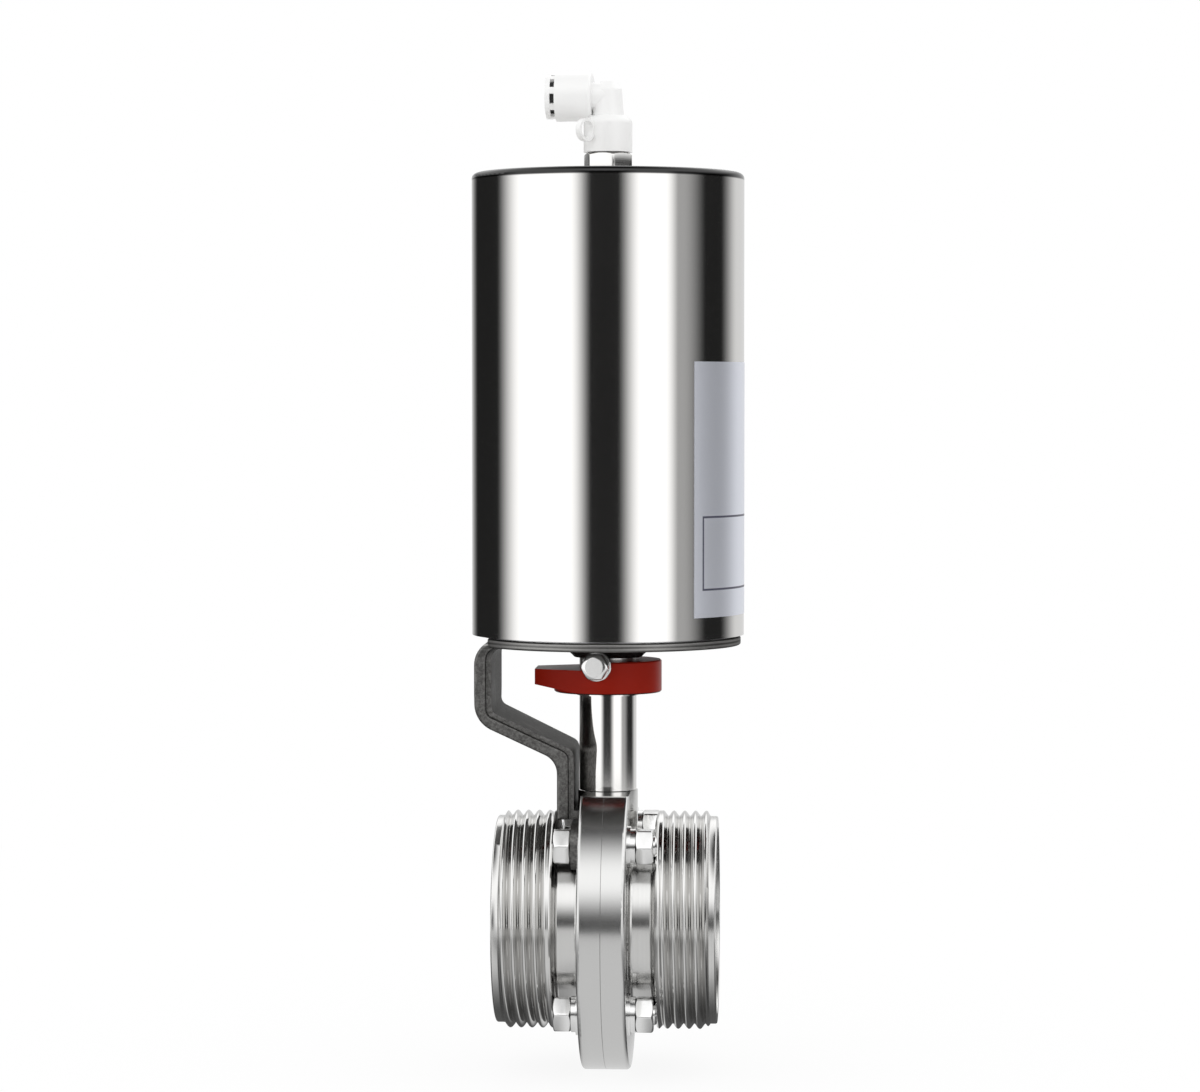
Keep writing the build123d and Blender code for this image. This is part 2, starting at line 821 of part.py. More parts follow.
# Collar with its wing towards -X, drawn in tangents to the tip, and notched at the top for the screw
with BuildPart() as indicator_collar:
    wing_top = collar_top - wing_top_step
    with BuildSketch(Plane.XZ):
        with BuildLine():
            Polyline(
                (0, wing_top),
                (-wing_reach, wing_top),
                (-wing_reach, wing_top - wing_tip_depth),
                (-shaft_radius, wing_top - wing_root_depth),
                (0, wing_top - wing_root_depth),
                close=True,
            )
        make_face()
    extrude(amount=collar_radius, both=True)
    with BuildSketch(Plane.XY.offset(collar_bottom)):
        Circle(collar_radius)
        with Locations((-wing_reach, 0)):
            Rectangle(wing_tip_depth, wing_tip_width, align=(Align.MIN, Align.CENTER))
        make_hull()
    extrude(amount=collar_height, mode=Mode.INTERSECT)
    with BuildSketch(Plane.XZ):
        with BuildLine():
            Polyline(
                (0, collar_bottom),
                (collar_radius - collar_rounding, collar_bottom),
                (collar_radius, collar_bottom + collar_rounding),
                (collar_radius, collar_top - collar_rounding),
                (collar_radius - collar_rounding, collar_top),
                (0, collar_top),
                close=True,
            )
        make_face()
    revolve(axis=Axis.Z)
    with BuildSketch(Plane.XY.offset(wing_top)):
        with Locations((collar_radius * screw_direction.X, 0)):
            Rectangle(wing_reach, 2 * collar_radius, align=(Align.MAX, Align.CENTER))
    extrude(amount=wing_top_step, mode=Mode.SUBTRACT)
    add_disc(collar_bottom, collar_top, collar_bore_radius, mode=Mode.SUBTRACT)
    with BuildSketch(screw_plane(0)):
        Circle(screw_radius + curved_gap)
        Rectangle(
            collar_height,
            2 * (screw_radius + curved_gap),
            align=(Align.MIN, Align.CENTER),
        )
    extrude(amount=wing_reach, mode=Mode.SUBTRACT)
indicator_collar.part.label = "indicator_collar"

with BuildPart() as indicator_screw:
    screw_flange_face = collar_radius + curved_gap
    screw_head_face = screw_flange_face + screw_flange_height
    with BuildSketch(screw_plane(screw_shank_start)):
        Circle(screw_radius)
    extrude(amount=screw_flange_face - screw_shank_start)
    with BuildSketch(screw_plane(screw_flange_face)):
        Circle(screw_flange_radius)
    extrude(amount=screw_flange_height)
    add_hexagon(screw_plane(screw_head_face), screw_head_flats, screw_head_height)
indicator_screw.part.label = "indicator_screw"

# Actuator shell: deep-drawn can with a port boss welded inside its top
with BuildPart() as actuator_shell:
    with BuildSketch(Plane.XZ):
        with BuildLine():
            FilletPolyline(
                (0, shell_top),
                (shell_radius, shell_top),
                (shell_radius, shell_bottom),
                (shell_inner_radius, shell_bottom),
                (shell_inner_radius, ceiling),
                (0, ceiling),
                radius=[0, shell_rounding, 0, 0, shell_inner_rounding, 0],
                close=True,
            )
        make_face()
    revolve(axis=Axis.Z)
    add_disc(port_boss_bottom, ceiling, port_boss_radius)
    add_disc(port_boss_bottom, shell_top, port_radius, mode=Mode.SUBTRACT)
    add_disc(shell_top - seal_recess_depth, shell_top, seal_recess_radius, mode=Mode.SUBTRACT)
    add_ring(
        ring_bottom - snug,
        ring_seat,
        ring_outer_radius + snug,
        shell_inner_radius - snug,
        mode=Mode.SUBTRACT,
    )
actuator_shell.part.label = "actuator_shell"

# Bottom cover, held up by the retaining ring in the shell
with BuildPart() as bottom_cover:
    add_disc(plate_top, ring_seat, skirt_radius)
    add_disc(ring_seat, cover_top, cover_radius)
    add_disc(plate_top, cover_top, cover_bore_radius + snug, mode=Mode.SUBTRACT)
    add_disc(plate_top, plate_top + wiper_height, shaft_radius + wiper_wall + snug, mode=Mode.SUBTRACT)
    groove_half = cover_ring_section + snug
    add_ring(
        ring_seat + cover_ring_height - groove_half,
        ring_seat + cover_ring_height + groove_half,
        shell_radius,
        cover_radius - 2 * cover_ring_section - snug,
        mode=Mode.SUBTRACT,
    )
    with Locations(Plane.XY.offset(plate_top)):
        with PolarLocations(plate_screw_circle, plate_screw_count, start_angle=plate_screw_azimuth):
            Cylinder(
                plate_screw_radius + snug,
                plate_screw_reach + curved_gap,
                align=(Align.CENTER, Align.CENTER, Align.MIN),
                mode=Mode.SUBTRACT,
            )
    with Locations(Plane.XY.offset(cover_top)):
        with PolarLocations(guide_screw_circle, 4):
            Cylinder(
                guide_screw_radius + snug,
                guide_screw_reach + curved_gap,
                align=(Align.CENTER, Align.CENTER, Align.MAX),
                mode=Mode.SUBTRACT,
            )
bottom_cover.part.label = "bottom_cover"

with BuildPart() as cover_o_ring:
    with BuildSketch(Plane.XZ):
        with Locations((cover_radius - cover_ring_section, ring_seat + cover_ring_height)):
            Circle(cover_ring_section)
    revolve(axis=Axis.Z)
cover_o_ring.part.label = "cover_o_ring"

with BuildPart() as cover_retaining_ring:
    add_ring(ring_bottom, ring_seat, ring_outer_radius, ring_inner_radius)
    with BuildSketch(Plane.XY.offset(ring_bottom)):
        with Locations((shell_radius, 0)):
            Rectangle(shell_radius, retaining_ring_width * 2)
    extrude(amount=retaining_ring_height, mode=Mode.SUBTRACT)
cover_retaining_ring.part.label = "cover_retaining_ring"

with BuildPart() as shaft_bush:
    add_ring(plate_top + wiper_height, cover_top, cover_bore_radius, shaft_radius + shaft_bush_fit)
shaft_bush.part.label = "shaft_bush"

with BuildPart() as shaft_wiper:
    add_ring(plate_top, plate_top + wiper_height, shaft_radius + wiper_wall, shaft_radius + running)
shaft_wiper.part.label = "shaft_wiper"

with BuildPart() as thrust_washer:
    add_ring(
        cover_top,
        cover_top + thrust_washer_height,
        shaft_flange_radius,
        shaft_radius + curved_gap,
    )
thrust_washer.part.label = "thrust_washer"

# Guide tube with two straight slots, screwed to the cover
with BuildPart() as guide_tube:
    add_ring(cover_top, tubes_top, guide_tube_radius, guide_tube_inner_radius)
    add_ring(
        cover_top,
        cover_top + guide_flange_height,
        guide_flange_radius,
        guide_tube_inner_radius,
    )
    with BuildSketch(Plane.XZ.offset(-guide_tube_radius)):
        with Locations((0, (cross_pin_height + lowest_pin_height) / 2)):
            SlotCenterToCenter(stroke, guide_slot_width, rotation=90)
    extrude(amount=2 * guide_tube_radius, mode=Mode.SUBTRACT)
    with Locations(Plane.XY.offset(cover_top)):
        with PolarLocations(guide_screw_circle, 4):
            Cylinder(
                guide_screw_radius + snug,
                guide_flange_height,
                align=(Align.CENTER, Align.CENTER, Align.MIN),
                mode=Mode.SUBTRACT,
            )
guide_tube.part.label = "guide_tube"

with BuildPart() as guide_tube_screws:
    with Locations(Plane.XY.offset(cover_top + guide_flange_height)):
        with PolarLocations(guide_screw_circle, 4):
            Cylinder(
                guide_screw_head_radius,
                guide_screw_head_height,
                align=(Align.CENTER, Align.CENTER, Align.MIN),
            )
            Cylinder(
                guide_screw_radius,
                guide_flange_height + guide_screw_reach,
                align=(Align.CENTER, Align.CENTER, Align.MAX),
            )
guide_tube_screws.part.label = "guide_tube_screws"

# Cam tube with two helical slots: a quarter turn over the stroke
slot_section = Plane.XY.offset(lowest_pin_height) * Rectangle(3 * cam_tube_radius, cam_slot_width)
helical_slots = Solid.extrude_linear_with_rotation(
    slot_section.face(),
    (0, 0, lowest_pin_height),
    (0, 0, stroke),
    quarter_turn,
)
with BuildPart() as cam_tube:
    add_ring(shaft_flange_top, tubes_top, cam_tube_radius, cam_tube_inner_radius)
    add(helical_slots, mode=Mode.SUBTRACT)
    with BuildSketch(Plane.XZ.offset(-cam_tube_radius)):
        with Locations((0, cross_pin_height)):
            Circle(cam_slot_width / 2)
        with Locations((0, shaft_flange_top + dowel_height)):
            Circle(dowel_radius + snug)
    extrude(amount=2 * cam_tube_radius, mode=Mode.SUBTRACT)
    with BuildSketch(Plane.YZ.offset(-cam_tube_radius)):
        with Locations((0, lowest_pin_height)):
            Circle(cam_slot_width / 2)
    extrude(amount=2 * cam_tube_radius, mode=Mode.SUBTRACT)
cam_tube.part.label = "cam_tube"

with BuildPart() as cam_dowels:
    with BuildSketch(Plane.XZ.offset(-cam_tube_radius + snug)):
        with Locations((0, shaft_flange_top + dowel_height)):
            Circle(dowel_radius)
    extrude(amount=2 * (cam_tube_radius - snug))
cam_dowels.part.label = "cam_dowels"

# Piston with its grooves, the ring that centres the spring, and the nut recess
with BuildPart() as piston:
    add_disc(piston_bottom, piston_top, piston_radius)
    add_ring(
        piston_bottom - spring_ring_height,
        piston_bottom,
        spring_mean_radius - spring_wire_radius - curved_gap,
        spring_ring_inner_radius,
    )
    seal_groove_top = piston_top - seal_groove_drop
    add_ring(
        seal_groove_top - seal_groove_height,
        seal_groove_top,
        shell_radius,
        piston_radius - seal_groove_depth,
        mode=Mode.SUBTRACT,
    )
    wear_groove_bottom = piston_bottom + wear_groove_lift
    add_ring(
        wear_groove_bottom,
        wear_groove_bottom + wear_groove_height,
        shell_radius,
        piston_radius - wear_groove_depth,
        mode=Mode.SUBTRACT,
    )
    add_disc(piston_top - nut_recess_depth, piston_top, nut_recess_radius, mode=Mode.SUBTRACT)
    add_disc(piston_bottom, piston_top, piston_rod_end_radius + snug, mode=Mode.SUBTRACT)
piston.part.label = "piston"

with BuildPart() as piston_seal:
    add_ring(
        seal_groove_top - seal_groove_height + snug,
        seal_groove_top - snug,
        piston_seal_radius,
        piston_radius - seal_groove_depth + snug,
    )
piston_seal.part.label = "piston_seal"

with BuildPart() as piston_wear_ring:
    add_ring(
        wear_groove_bottom + snug,
        wear_groove_bottom + wear_groove_height - snug,
        piston_seal_radius,
        piston_radius - wear_groove_depth + snug,
    )
piston_wear_ring.part.label = "piston_wear_ring"

with BuildPart() as piston_rod:
    add_disc(rod_bottom, piston_bottom, piston_rod_radius)
    add_disc(piston_bottom, piston_top, piston_rod_end_radius)
    with BuildSketch(Plane.XZ.offset(-piston_rod_radius)):
        with Locations((0, cross_pin_height)):
            Circle(cross_pin_radius + snug)
    extrude(amount=2 * piston_rod_radius, mode=Mode.SUBTRACT)
piston_rod.part.label = "piston_rod"

with BuildPart() as rod_nut:
    nut_bottom = piston_top - nut_recess_depth
    add_hexagon(Plane.XY.offset(nut_bottom), rod_nut_flats, rod_nut_height)
    add_disc(nut_bottom, nut_bottom + rod_nut_height, piston_rod_end_radius + snug, mode=Mode.SUBTRACT)
rod_nut.part.label = "rod_nut"

with BuildPart() as cross_pin:
    with BuildSketch(Plane.XZ.offset(-guide_tube_radius - pin_end_margin)):
        with Locations((0, cross_pin_height)):
            Circle(cross_pin_radius)
    extrude(amount=2 * (guide_tube_radius + pin_end_margin))
cross_pin.part.label = "cross_pin"

# Four rollers: two run in the cam tube's slots, two in the guide tube's
with BuildPart() as cross_pin_rollers:
    cam_roller_start = cam_tube_inner_radius + roller_side_gap
    cam_roller_end = cam_tube_radius - roller_side_gap
    guide_roller_start = guide_tube_inner_radius + roller_side_gap
    guide_roller_end = guide_tube_radius
    for start, end in (
        (cam_roller_start, cam_roller_end),
        (guide_roller_start, guide_roller_end),
        (-cam_roller_end, -cam_roller_start),
        (-guide_roller_end, -guide_roller_start),
    ):
        with BuildSketch(Plane.XZ.offset(start)):
            with Locations((0, cross_pin_height)):
                Circle(roller_radius)
                Circle(cross_pin_radius + roller_bore_gap, mode=Mode.SUBTRACT)
        extrude(amount=end - start)
cross_pin_rollers.part.label = "cross_pin_rollers"

# Return spring between cover and piston
with BuildPart() as return_spring:
    wire_bottom = cover_top + spring_wire_radius + spring_end_gap
    wire_top = piston_bottom - spring_wire_radius - spring_end_gap
    spring_pitch = (wire_top - wire_bottom) / spring_turns
    with BuildLine() as spring_line:
        Helix(
            spring_pitch,
            wire_top - wire_bottom,
            spring_mean_radius,
            center=(0, 0, wire_bottom),
        )
    with BuildSketch(Plane(origin=spring_line.line @ 0, z_dir=spring_line.line % 0)):
        Circle(spring_wire_radius)
    sweep(is_frenet=True)
return_spring.part.label = "return_spring"

# Air fitting
with BuildPart() as fitting_stud:
    stud_plane = Plane.XY.offset(shell_top)
    add_disc(port_boss_bottom, shell_top, port_radius - snug)
    add_hexagon(stud_plane, stud_flats, stud_hexagon_height, turn=stud_hexagon_turn)
    add_disc(journal_bottom, journal_top, journal_radius)
    journal_groove_half = journal_ring_section + snug
    add_ring(
        journal_bottom + journal_ring_height - journal_groove_half,
        journal_bottom + journal_ring_height + journal_groove_half,
        stud_flats,
        journal_radius - 2 * journal_ring_section,
        mode=Mode.SUBTRACT,
    )
    add_disc(port_boss_bottom, journal_top, stud_bore_radius, mode=Mode.SUBTRACT)
fitting_stud.part.label = "fitting_stud"

with BuildPart() as fitting_seal:
    add_ring(
        shell_top - seal_recess_depth,
        shell_top,
        seal_recess_radius - snug,
        port_radius + snug,
    )
fitting_seal.part.label = "fitting_seal"

with BuildPart() as elbow_o_ring:
    with BuildSketch(Plane.XZ):
        ring_centre = journal_radius - journal_ring_section + running / 2
        with Locations((ring_centre, journal_bottom + journal_ring_height)):
            Circle(journal_ring_section)
    revolve(axis=Axis.Z)
elbow_o_ring.part.label = "elbow_o_ring"

with BuildPart() as elbow_body:
    with BuildSketch(Plane.XZ):
        with BuildLine():
            barrel_top = elbow_bottom + elbow_barrel_height
            riser_top = elbow_bottom + elbow_riser_height
            FilletPolyline(
                (0, elbow_bottom),
                (elbow_barrel_radius, elbow_bottom),
                (elbow_barrel_radius, barrel_top),
                (elbow_riser_radius, barrel_top),
                (elbow_riser_top_radius, riser_top),
                (elbow_riser_cap_radius, riser_top + elbow_riser_cap),
                (0, riser_top + elbow_riser_cap),
                radius=[0, 0, elbow_barrel_rounding, 0, 0, 0, 0],
                close=True,
            )
        make_face()
    revolve(axis=Axis.Z)
    add_socket_disc(0, socket_start + socket_rounding, socket_neck_radius)
    with BuildSketch(Plane(origin=(0, 0, socket_height), x_dir=socket_direction, z_dir=(0, 1, 0))):
        with BuildLine():
            FilletPolyline(
                (socket_start, 0),
                (socket_start, socket_radius),
                (socket_end, socket_radius),
                (socket_end, 0),
                radius=[0, socket_rounding, 0, 0],
                close=True,
            )
        make_face()
    revolve(axis=Axis((0, 0, socket_height), socket_direction))
    eyelet_outward = Vector(cos(radians(eyelet_azimuth)), sin(radians(eyelet_azimuth)), 0)
    eyelet_normal = Vector(-eyelet_outward.Y, eyelet_outward.X, 0)
    eyelet_distance = elbow_barrel_radius + eyelet_radius - eyelet_root
    eyelet_centre = eyelet_outward * eyelet_distance + Vector(0, 0, elbow_bottom + eyelet_lift)
    eyelet_start = eyelet_centre - eyelet_normal * (eyelet_length / 2)
    with BuildSketch(Plane(origin=eyelet_start, z_dir=eyelet_normal)):
        Circle(eyelet_radius)
    extrude(amount=eyelet_length)
    with BuildSketch(Plane(origin=eyelet_start, z_dir=eyelet_normal)):
        Circle(eyelet_bore_radius)
    extrude(amount=eyelet_length, mode=Mode.SUBTRACT)
    add_disc(elbow_bottom, journal_top + curved_gap, journal_radius + running, mode=Mode.SUBTRACT)
    add_disc(elbow_bottom, socket_height, air_way_radius, mode=Mode.SUBTRACT)
    add_socket_disc(0, socket_end, air_way_radius, mode=Mode.SUBTRACT)
    add_socket_disc(tube_stop, socket_end, tube_hole_radius, mode=Mode.SUBTRACT)
    add_socket_disc(
        tube_seal_start,
        tube_seal_start + tube_seal_width,
        tube_seal_outer_radius,
        mode=Mode.SUBTRACT,
    )
    add_socket_disc(collet_bore_start, socket_end, collet_bore_radius, mode=Mode.SUBTRACT)
    add_socket_ring(
        socket_end - release_groove_depth,
        socket_end,
        release_rib_outer_radius + release_groove_gap,
        release_rib_inner_radius - release_groove_gap,
        mode=Mode.SUBTRACT,
    )
elbow_body.part.label = "elbow_body"

with BuildPart() as tube_seal:
    add_socket_ring(
        tube_seal_start + snug,
        tube_seal_start + tube_seal_width - snug,
        tube_seal_outer_radius - snug,
        tube_hole_radius,
    )
tube_seal.part.label = "tube_seal"

with BuildPart() as grip_ring:
    add_socket_ring(
        collet_bore_start,
        collet_bore_start + grip_ring_width,
        collet_bore_radius - snug,
        tube_hole_radius,
    )
grip_ring.part.label = "grip_ring"

# Release ring: sleeve, flange and the ribs that slide into the elbow's mouth
with BuildPart() as release_ring:
    sleeve_start = collet_bore_start + grip_ring_width + release_travel + curved_gap
    add_socket_ring(
        sleeve_start,
        ring_flange_end,
        tube_hole_radius + release_sleeve_wall,
        tube_hole_radius,
    )
    add_socket_ring(ring_flange_face, ring_flange_end, release_flange_radius, tube_hole_radius)
    with BuildSketch(socket_plane(socket_end - curved_gap)):
        Circle(release_rib_outer_radius)
        Circle(release_rib_inner_radius, mode=Mode.SUBTRACT)
        with BuildLine(mode=Mode.PRIVATE) as sector_line:
            half_angle = radians(release_rib_angle / 2)
            sector_reach = 2 * release_rib_outer_radius
            Polyline(
                (0, 0),
                (sector_reach, sector_reach * tan(half_angle)),
                (sector_reach, -sector_reach * tan(half_angle)),
                close=True,
            )
        with BuildSketch(mode=Mode.INTERSECT):
            with PolarLocations(0, release_rib_count, start_angle=release_rib_azimuth):
                add(make_face(sector_line.edges(), mode=Mode.PRIVATE))
    extrude(amount=ring_flange_face - socket_end + curved_gap)
release_ring.part.label = "release_ring"

pieces = [
    inlet_male_end,
    outlet_male_end,
    inlet_flange_half,
    outlet_flange_half,
    seat_seal,
    upper_stem_bush,
    lower_stem_bush,
    valve_disc,
    stem_o_rings,
    flange_bolts,
    flange_nuts,
    flat_washers,
    spring_washers,
    bracket,
    bracket_screws,
    output_shaft,
    indicator_collar,
    indicator_screw,
    actuator_shell,
    bottom_cover,
    cover_o_ring,
    cover_retaining_ring,
    shaft_bush,
    shaft_wiper,
    thrust_washer,
    guide_tube,
    guide_tube_screws,
    cam_tube,
    cam_dowels,
    piston,
    piston_seal,
    piston_wear_ring,
    piston_rod,
    rod_nut,
    cross_pin,
    cross_pin_rollers,
    return_spring,
    fitting_stud,
    fitting_seal,
    elbow_o_ring,
    elbow_body,
    tube_seal,
    grip_ring,
    release_ring,
]
os.makedirs("parts", exist_ok=True)
for piece in pieces:
    export_step(piece.part, f"parts/{piece.part.label}.step")
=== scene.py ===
"""The looks of a hygienic butterfly valve with an upright air actuator.

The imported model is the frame. Pieces made here stand where its nodes are, in metres, with the pipe
along X, the stem along Z and the viewer of the photograph on the -Y side. Sizes are written in
millimetres and turned into metres where they are used.
"""

import json
import math

import bmesh
import bpy
from mathutils import Matrix, Vector


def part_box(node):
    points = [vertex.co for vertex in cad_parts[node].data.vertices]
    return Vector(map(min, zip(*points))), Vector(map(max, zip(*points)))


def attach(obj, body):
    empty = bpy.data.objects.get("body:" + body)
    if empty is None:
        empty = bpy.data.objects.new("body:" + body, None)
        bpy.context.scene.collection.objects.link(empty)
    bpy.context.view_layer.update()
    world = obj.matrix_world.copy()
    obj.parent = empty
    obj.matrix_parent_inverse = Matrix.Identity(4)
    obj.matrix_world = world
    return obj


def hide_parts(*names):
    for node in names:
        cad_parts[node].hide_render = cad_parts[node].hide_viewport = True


MM = 0.001
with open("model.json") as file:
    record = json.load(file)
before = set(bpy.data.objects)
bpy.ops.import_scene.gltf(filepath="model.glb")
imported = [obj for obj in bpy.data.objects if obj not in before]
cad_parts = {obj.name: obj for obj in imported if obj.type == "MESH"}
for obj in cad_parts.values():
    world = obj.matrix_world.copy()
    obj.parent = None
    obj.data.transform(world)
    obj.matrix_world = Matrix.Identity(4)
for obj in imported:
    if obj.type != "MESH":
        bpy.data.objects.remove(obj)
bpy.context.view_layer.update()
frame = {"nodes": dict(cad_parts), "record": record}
nodes = frame["nodes"]


# Node trees


class Wire:
    """A socket of a node tree that adds, multiplies and compares like a number."""

    def __init__(self, tree, socket):
        self.tree = tree
        self.socket = socket

    def math(self, operation, *others, clamp=False):
        """The result of a Math node that starts with this number."""
        node = self.tree.nodes.new("ShaderNodeMath")
        node.operation = operation
        node.use_clamp = clamp
        for place, value in enumerate((self, *others)):
            plug(self.tree, value, node.inputs[place])
        return Wire(self.tree, node.outputs[0])

    def __add__(self, other):
        return self.math("ADD", other)

    def __sub__(self, other):
        return self.math("SUBTRACT", other)

    def __mul__(self, other):
        return self.math("MULTIPLY", other)

    def __truediv__(self, other):
        return self.math("DIVIDE", other)

    def __rsub__(self, other):
        return (self * -1.0) + other

    def __rtruediv__(self, other):
        return self.math("POWER", -1.0) * other

    def __gt__(self, other):
        return self.math("GREATER_THAN", other)

    def __lt__(self, other):
        return self.math("LESS_THAN", other)

    __radd__ = __add__
    __rmul__ = __mul__

    def absolute(self):
        return self.math("ABSOLUTE")

    def ramp(self, start, end):
        """0 below start, 1 above end, smooth between. start may be the larger."""
        if start > end:
            return 1 - self.ramp(end, start)
        t = ((self - start) / (end - start)).math("ADD", 0.0, clamp=True)
        return t * t * (3 - 2 * t)

    def ramp_mm(self, start, end):
        """A ramp of a length, with its start and end in millimetres."""
        return self.ramp(start * MM, end * MM)


def plug(tree, value, socket):
    """Links a wire or a socket, or sets a plain value."""
    if isinstance(value, Wire):
        tree.links.new(value.socket, socket)
    elif isinstance(value, bpy.types.NodeSocket):
        tree.links.new(value, socket)
    else:
        socket.default_value = value


class Tree:
    """A node tree with one way to add a node."""

    def __init__(self, tree):
        self.tree = tree

    def add(self, kind, settings=None, sockets=None):
        """A node of a kind, with its settings first and then the values or links of its sockets."""
        node = self.tree.nodes.new(kind)
        for name, value in (settings or {}).items():
            setattr(node, name, value)
        for name, value in (sockets or {}).items():
            plug(self.tree, value, node.inputs[name])
        return node

    def wire(self, node, output=0):
        return Wire(self.tree, node.outputs[output])

    def axes(self, vector):
        """The three numbers of a vector socket."""
        node = self.add("ShaderNodeSeparateXYZ", sockets={"Vector": vector})
        return [Wire(self.tree, socket) for socket in node.outputs]

    def mix(self, factor, low, high):
        """A colour between two colours."""
        node = self.add("ShaderNodeMix", {"data_type": "RGBA"})
        plug(self.tree, factor, node.inputs[0])
        plug(self.tree, low, node.inputs[6])
        plug(self.tree, high, node.inputs[7])
        return node.outputs[2]

    def mix_surfaces(self, factor, low, high):
        """A surface between two surfaces, each given by its node."""
        node = self.add("ShaderNodeMixShader", sockets={0: factor})
        self.tree.links.new(low.outputs[0], node.inputs[1])
        self.tree.links.new(high.outputs[0], node.inputs[2])
        return node


class Finish(Tree):
    """A material with one Principled surface."""

    def __init__(self, name, **constants):
        self.material = bpy.data.materials.new(name)
        self.material.use_nodes = True
        super().__init__(self.material.node_tree)
        self.surface = self.tree.nodes["Principled BSDF"]
        self.place = self.add("ShaderNodeTexCoord").outputs["Object"]
        for socket, value in constants.items():
            self.surface.inputs[socket.replace("_", " ")].default_value = value

    def feed(self, socket, value):
        plug(self.tree, value, self.surface.inputs[socket])

    def noise(self, scale, detail=2.0, roughness=0.5, stretch=(1, 1, 1)):
        """Noise per metre, stretched along the axes."""
        spread = self.add(
            "ShaderNodeVectorMath",
            {"operation": "MULTIPLY"},
            {0: self.place, 1: stretch},
        )
        node = self.add(
            "ShaderNodeTexNoise",
            sockets={
                "Vector": spread.outputs[0],
                "Scale": scale,
                "Detail": detail,
                "Roughness": roughness,
            },
        )
        return self.wire(node)

    def bump(self, height, depth_mm, strength):
        node = self.add(
            "ShaderNodeBump",
            sockets={"Height": height, "Distance": depth_mm * MM, "Strength": strength},
        )
        self.feed("Normal", node.outputs[0])


# Camera: degrees round the stem, metres from it and above the pipe's axis, degrees of its turns

CAMERA_AZIMUTH = 3.0
CAMERA_DISTANCE = 1.475
CAMERA_HEIGHT = 0.205
CAMERA_DOWN = 2.285
STEM_OFF_CENTRE = 0.121
LENS = 113.5
FILM_WIDTH = 36.0
NEAREST_SEEN = 0.05
FARTHEST_SEEN = 50.0


def add_camera():
    """The photograph's view."""
    camera = bpy.data.objects.new("camera", bpy.data.cameras.new("camera"))
    bpy.context.scene.collection.objects.link(camera)
    camera.data.lens = LENS
    camera.data.sensor_width = FILM_WIDTH
    camera.data.clip_start = NEAREST_SEEN
    camera.data.clip_end = FARTHEST_SEEN
    around = math.radians(CAMERA_AZIMUTH)
    camera.location = (
        CAMERA_DISTANCE * math.sin(around),
        -CAMERA_DISTANCE * math.cos(around),
        CAMERA_HEIGHT,
    )
    camera.rotation_euler = (
        math.radians(90.0 - CAMERA_DOWN),
        0.0,
        math.radians(CAMERA_AZIMUTH + STEM_OFF_CENTRE),
    )
    bpy.context.scene.camera = camera


# Studio: white panels beside the camera with a dark gap between them, and a soft top

# Each panel: degrees round the stem where its light begins, is full, falls and ends, and its
# strength
PANELS = (
    (-109.0, -76.0, -33.0, -13.0, 1.35),
    (7.0, 29.0, 48.0, 68.0, 1.35),
    (50.0, 62.0, 65.0, 93.0, 0.42),
    (108.0, 140.0, 184.0, 218.0, 0.75),
)
GAP_GLOW = 0.016
# Degrees above the horizon between which the soft top grows
TOP_GROWS = (3.0, 33.0)
TOP_STRENGTH = 1.5
# Degrees above the horizon between which all light fades towards the zenith, and what stays there
ZENITH_FADES = (83.0, 42.0)
ZENITH_GLOW = 0.04
# The sky behind the valve keeps more of its light, by the Y of a ray's direction
BACK_GROWS = (0.02, 0.3)
BACK_GLOW = 0.3
# Degrees below the horizon between which the panels give way to the light under them
UNDER_GROWS = (-9.0, -14.0)
UNDER_STRENGTH = 0.7
# Matt surfaces get an even light, a little stronger from above
SOFT_STRENGTH = 1.0
SOFT_LEAN = 0.12


def add_studio():
    """The world: white to the camera, panels to mirrors, an even light to matt surfaces."""
    world = bpy.data.worlds.new("studio")
    bpy.context.scene.world = world
    world.use_nodes = True
    world.cycles.sampling_method = "NONE"
    tree = Tree(world.node_tree)
    x, y, z = tree.axes(tree.add("ShaderNodeTexCoord").outputs["Generated"])
    degrees = 180.0 / math.pi
    around = x.math("ARCTAN2", y * -1.0) * degrees - CAMERA_AZIMUTH
    lift = z.math("ARCSINE") * degrees
    side = None
    for begin, full, fall, end, strength in PANELS:
        middle = (begin + end) / 2
        turned = (around - middle + 540.0).math("MODULO", 360.0) - 180.0
        rise = turned.ramp(begin - middle, full - middle)
        glow = rise * turned.ramp(end - middle, fall - middle) * strength
        side = glow if side is None else side.math("MAXIMUM", glow)
    side = side.math("MAXIMUM", GAP_GLOW)
    top = lift.ramp(*TOP_GROWS) * TOP_STRENGTH
    level = side.math("MAXIMUM", top)
    behind = y.ramp(*BACK_GROWS) * BACK_GLOW
    kept = lift.ramp(*ZENITH_FADES).math("MAXIMUM", ZENITH_GLOW).math("MAXIMUM", behind)
    under = lift.ramp(*UNDER_GROWS)
    level = level * kept * (1 - under) + under * UNDER_STRENGTH
    path = tree.add("ShaderNodeLightPath")
    camera_ray = tree.wire(path, "Is Camera Ray")
    mirror_ray = tree.wire(path, "Is Glossy Ray").math(
        "MAXIMUM", tree.wire(path, "Is Transmission Ray")
    )
    soft_light = SOFT_STRENGTH + z * SOFT_LEAN
    seen = mirror_ray * level + (1 - mirror_ray) * soft_light
    strength = camera_ray + (1 - camera_ray) * seen
    background = world.node_tree.nodes["Background"]
    background.inputs["Color"].default_value = (1, 1, 1, 1)
    plug(world.node_tree, strength, background.inputs["Strength"])


# Floor: a white disc just under the valve. Its height and gap are in millimetres, and the places on
# it in metres from the stem

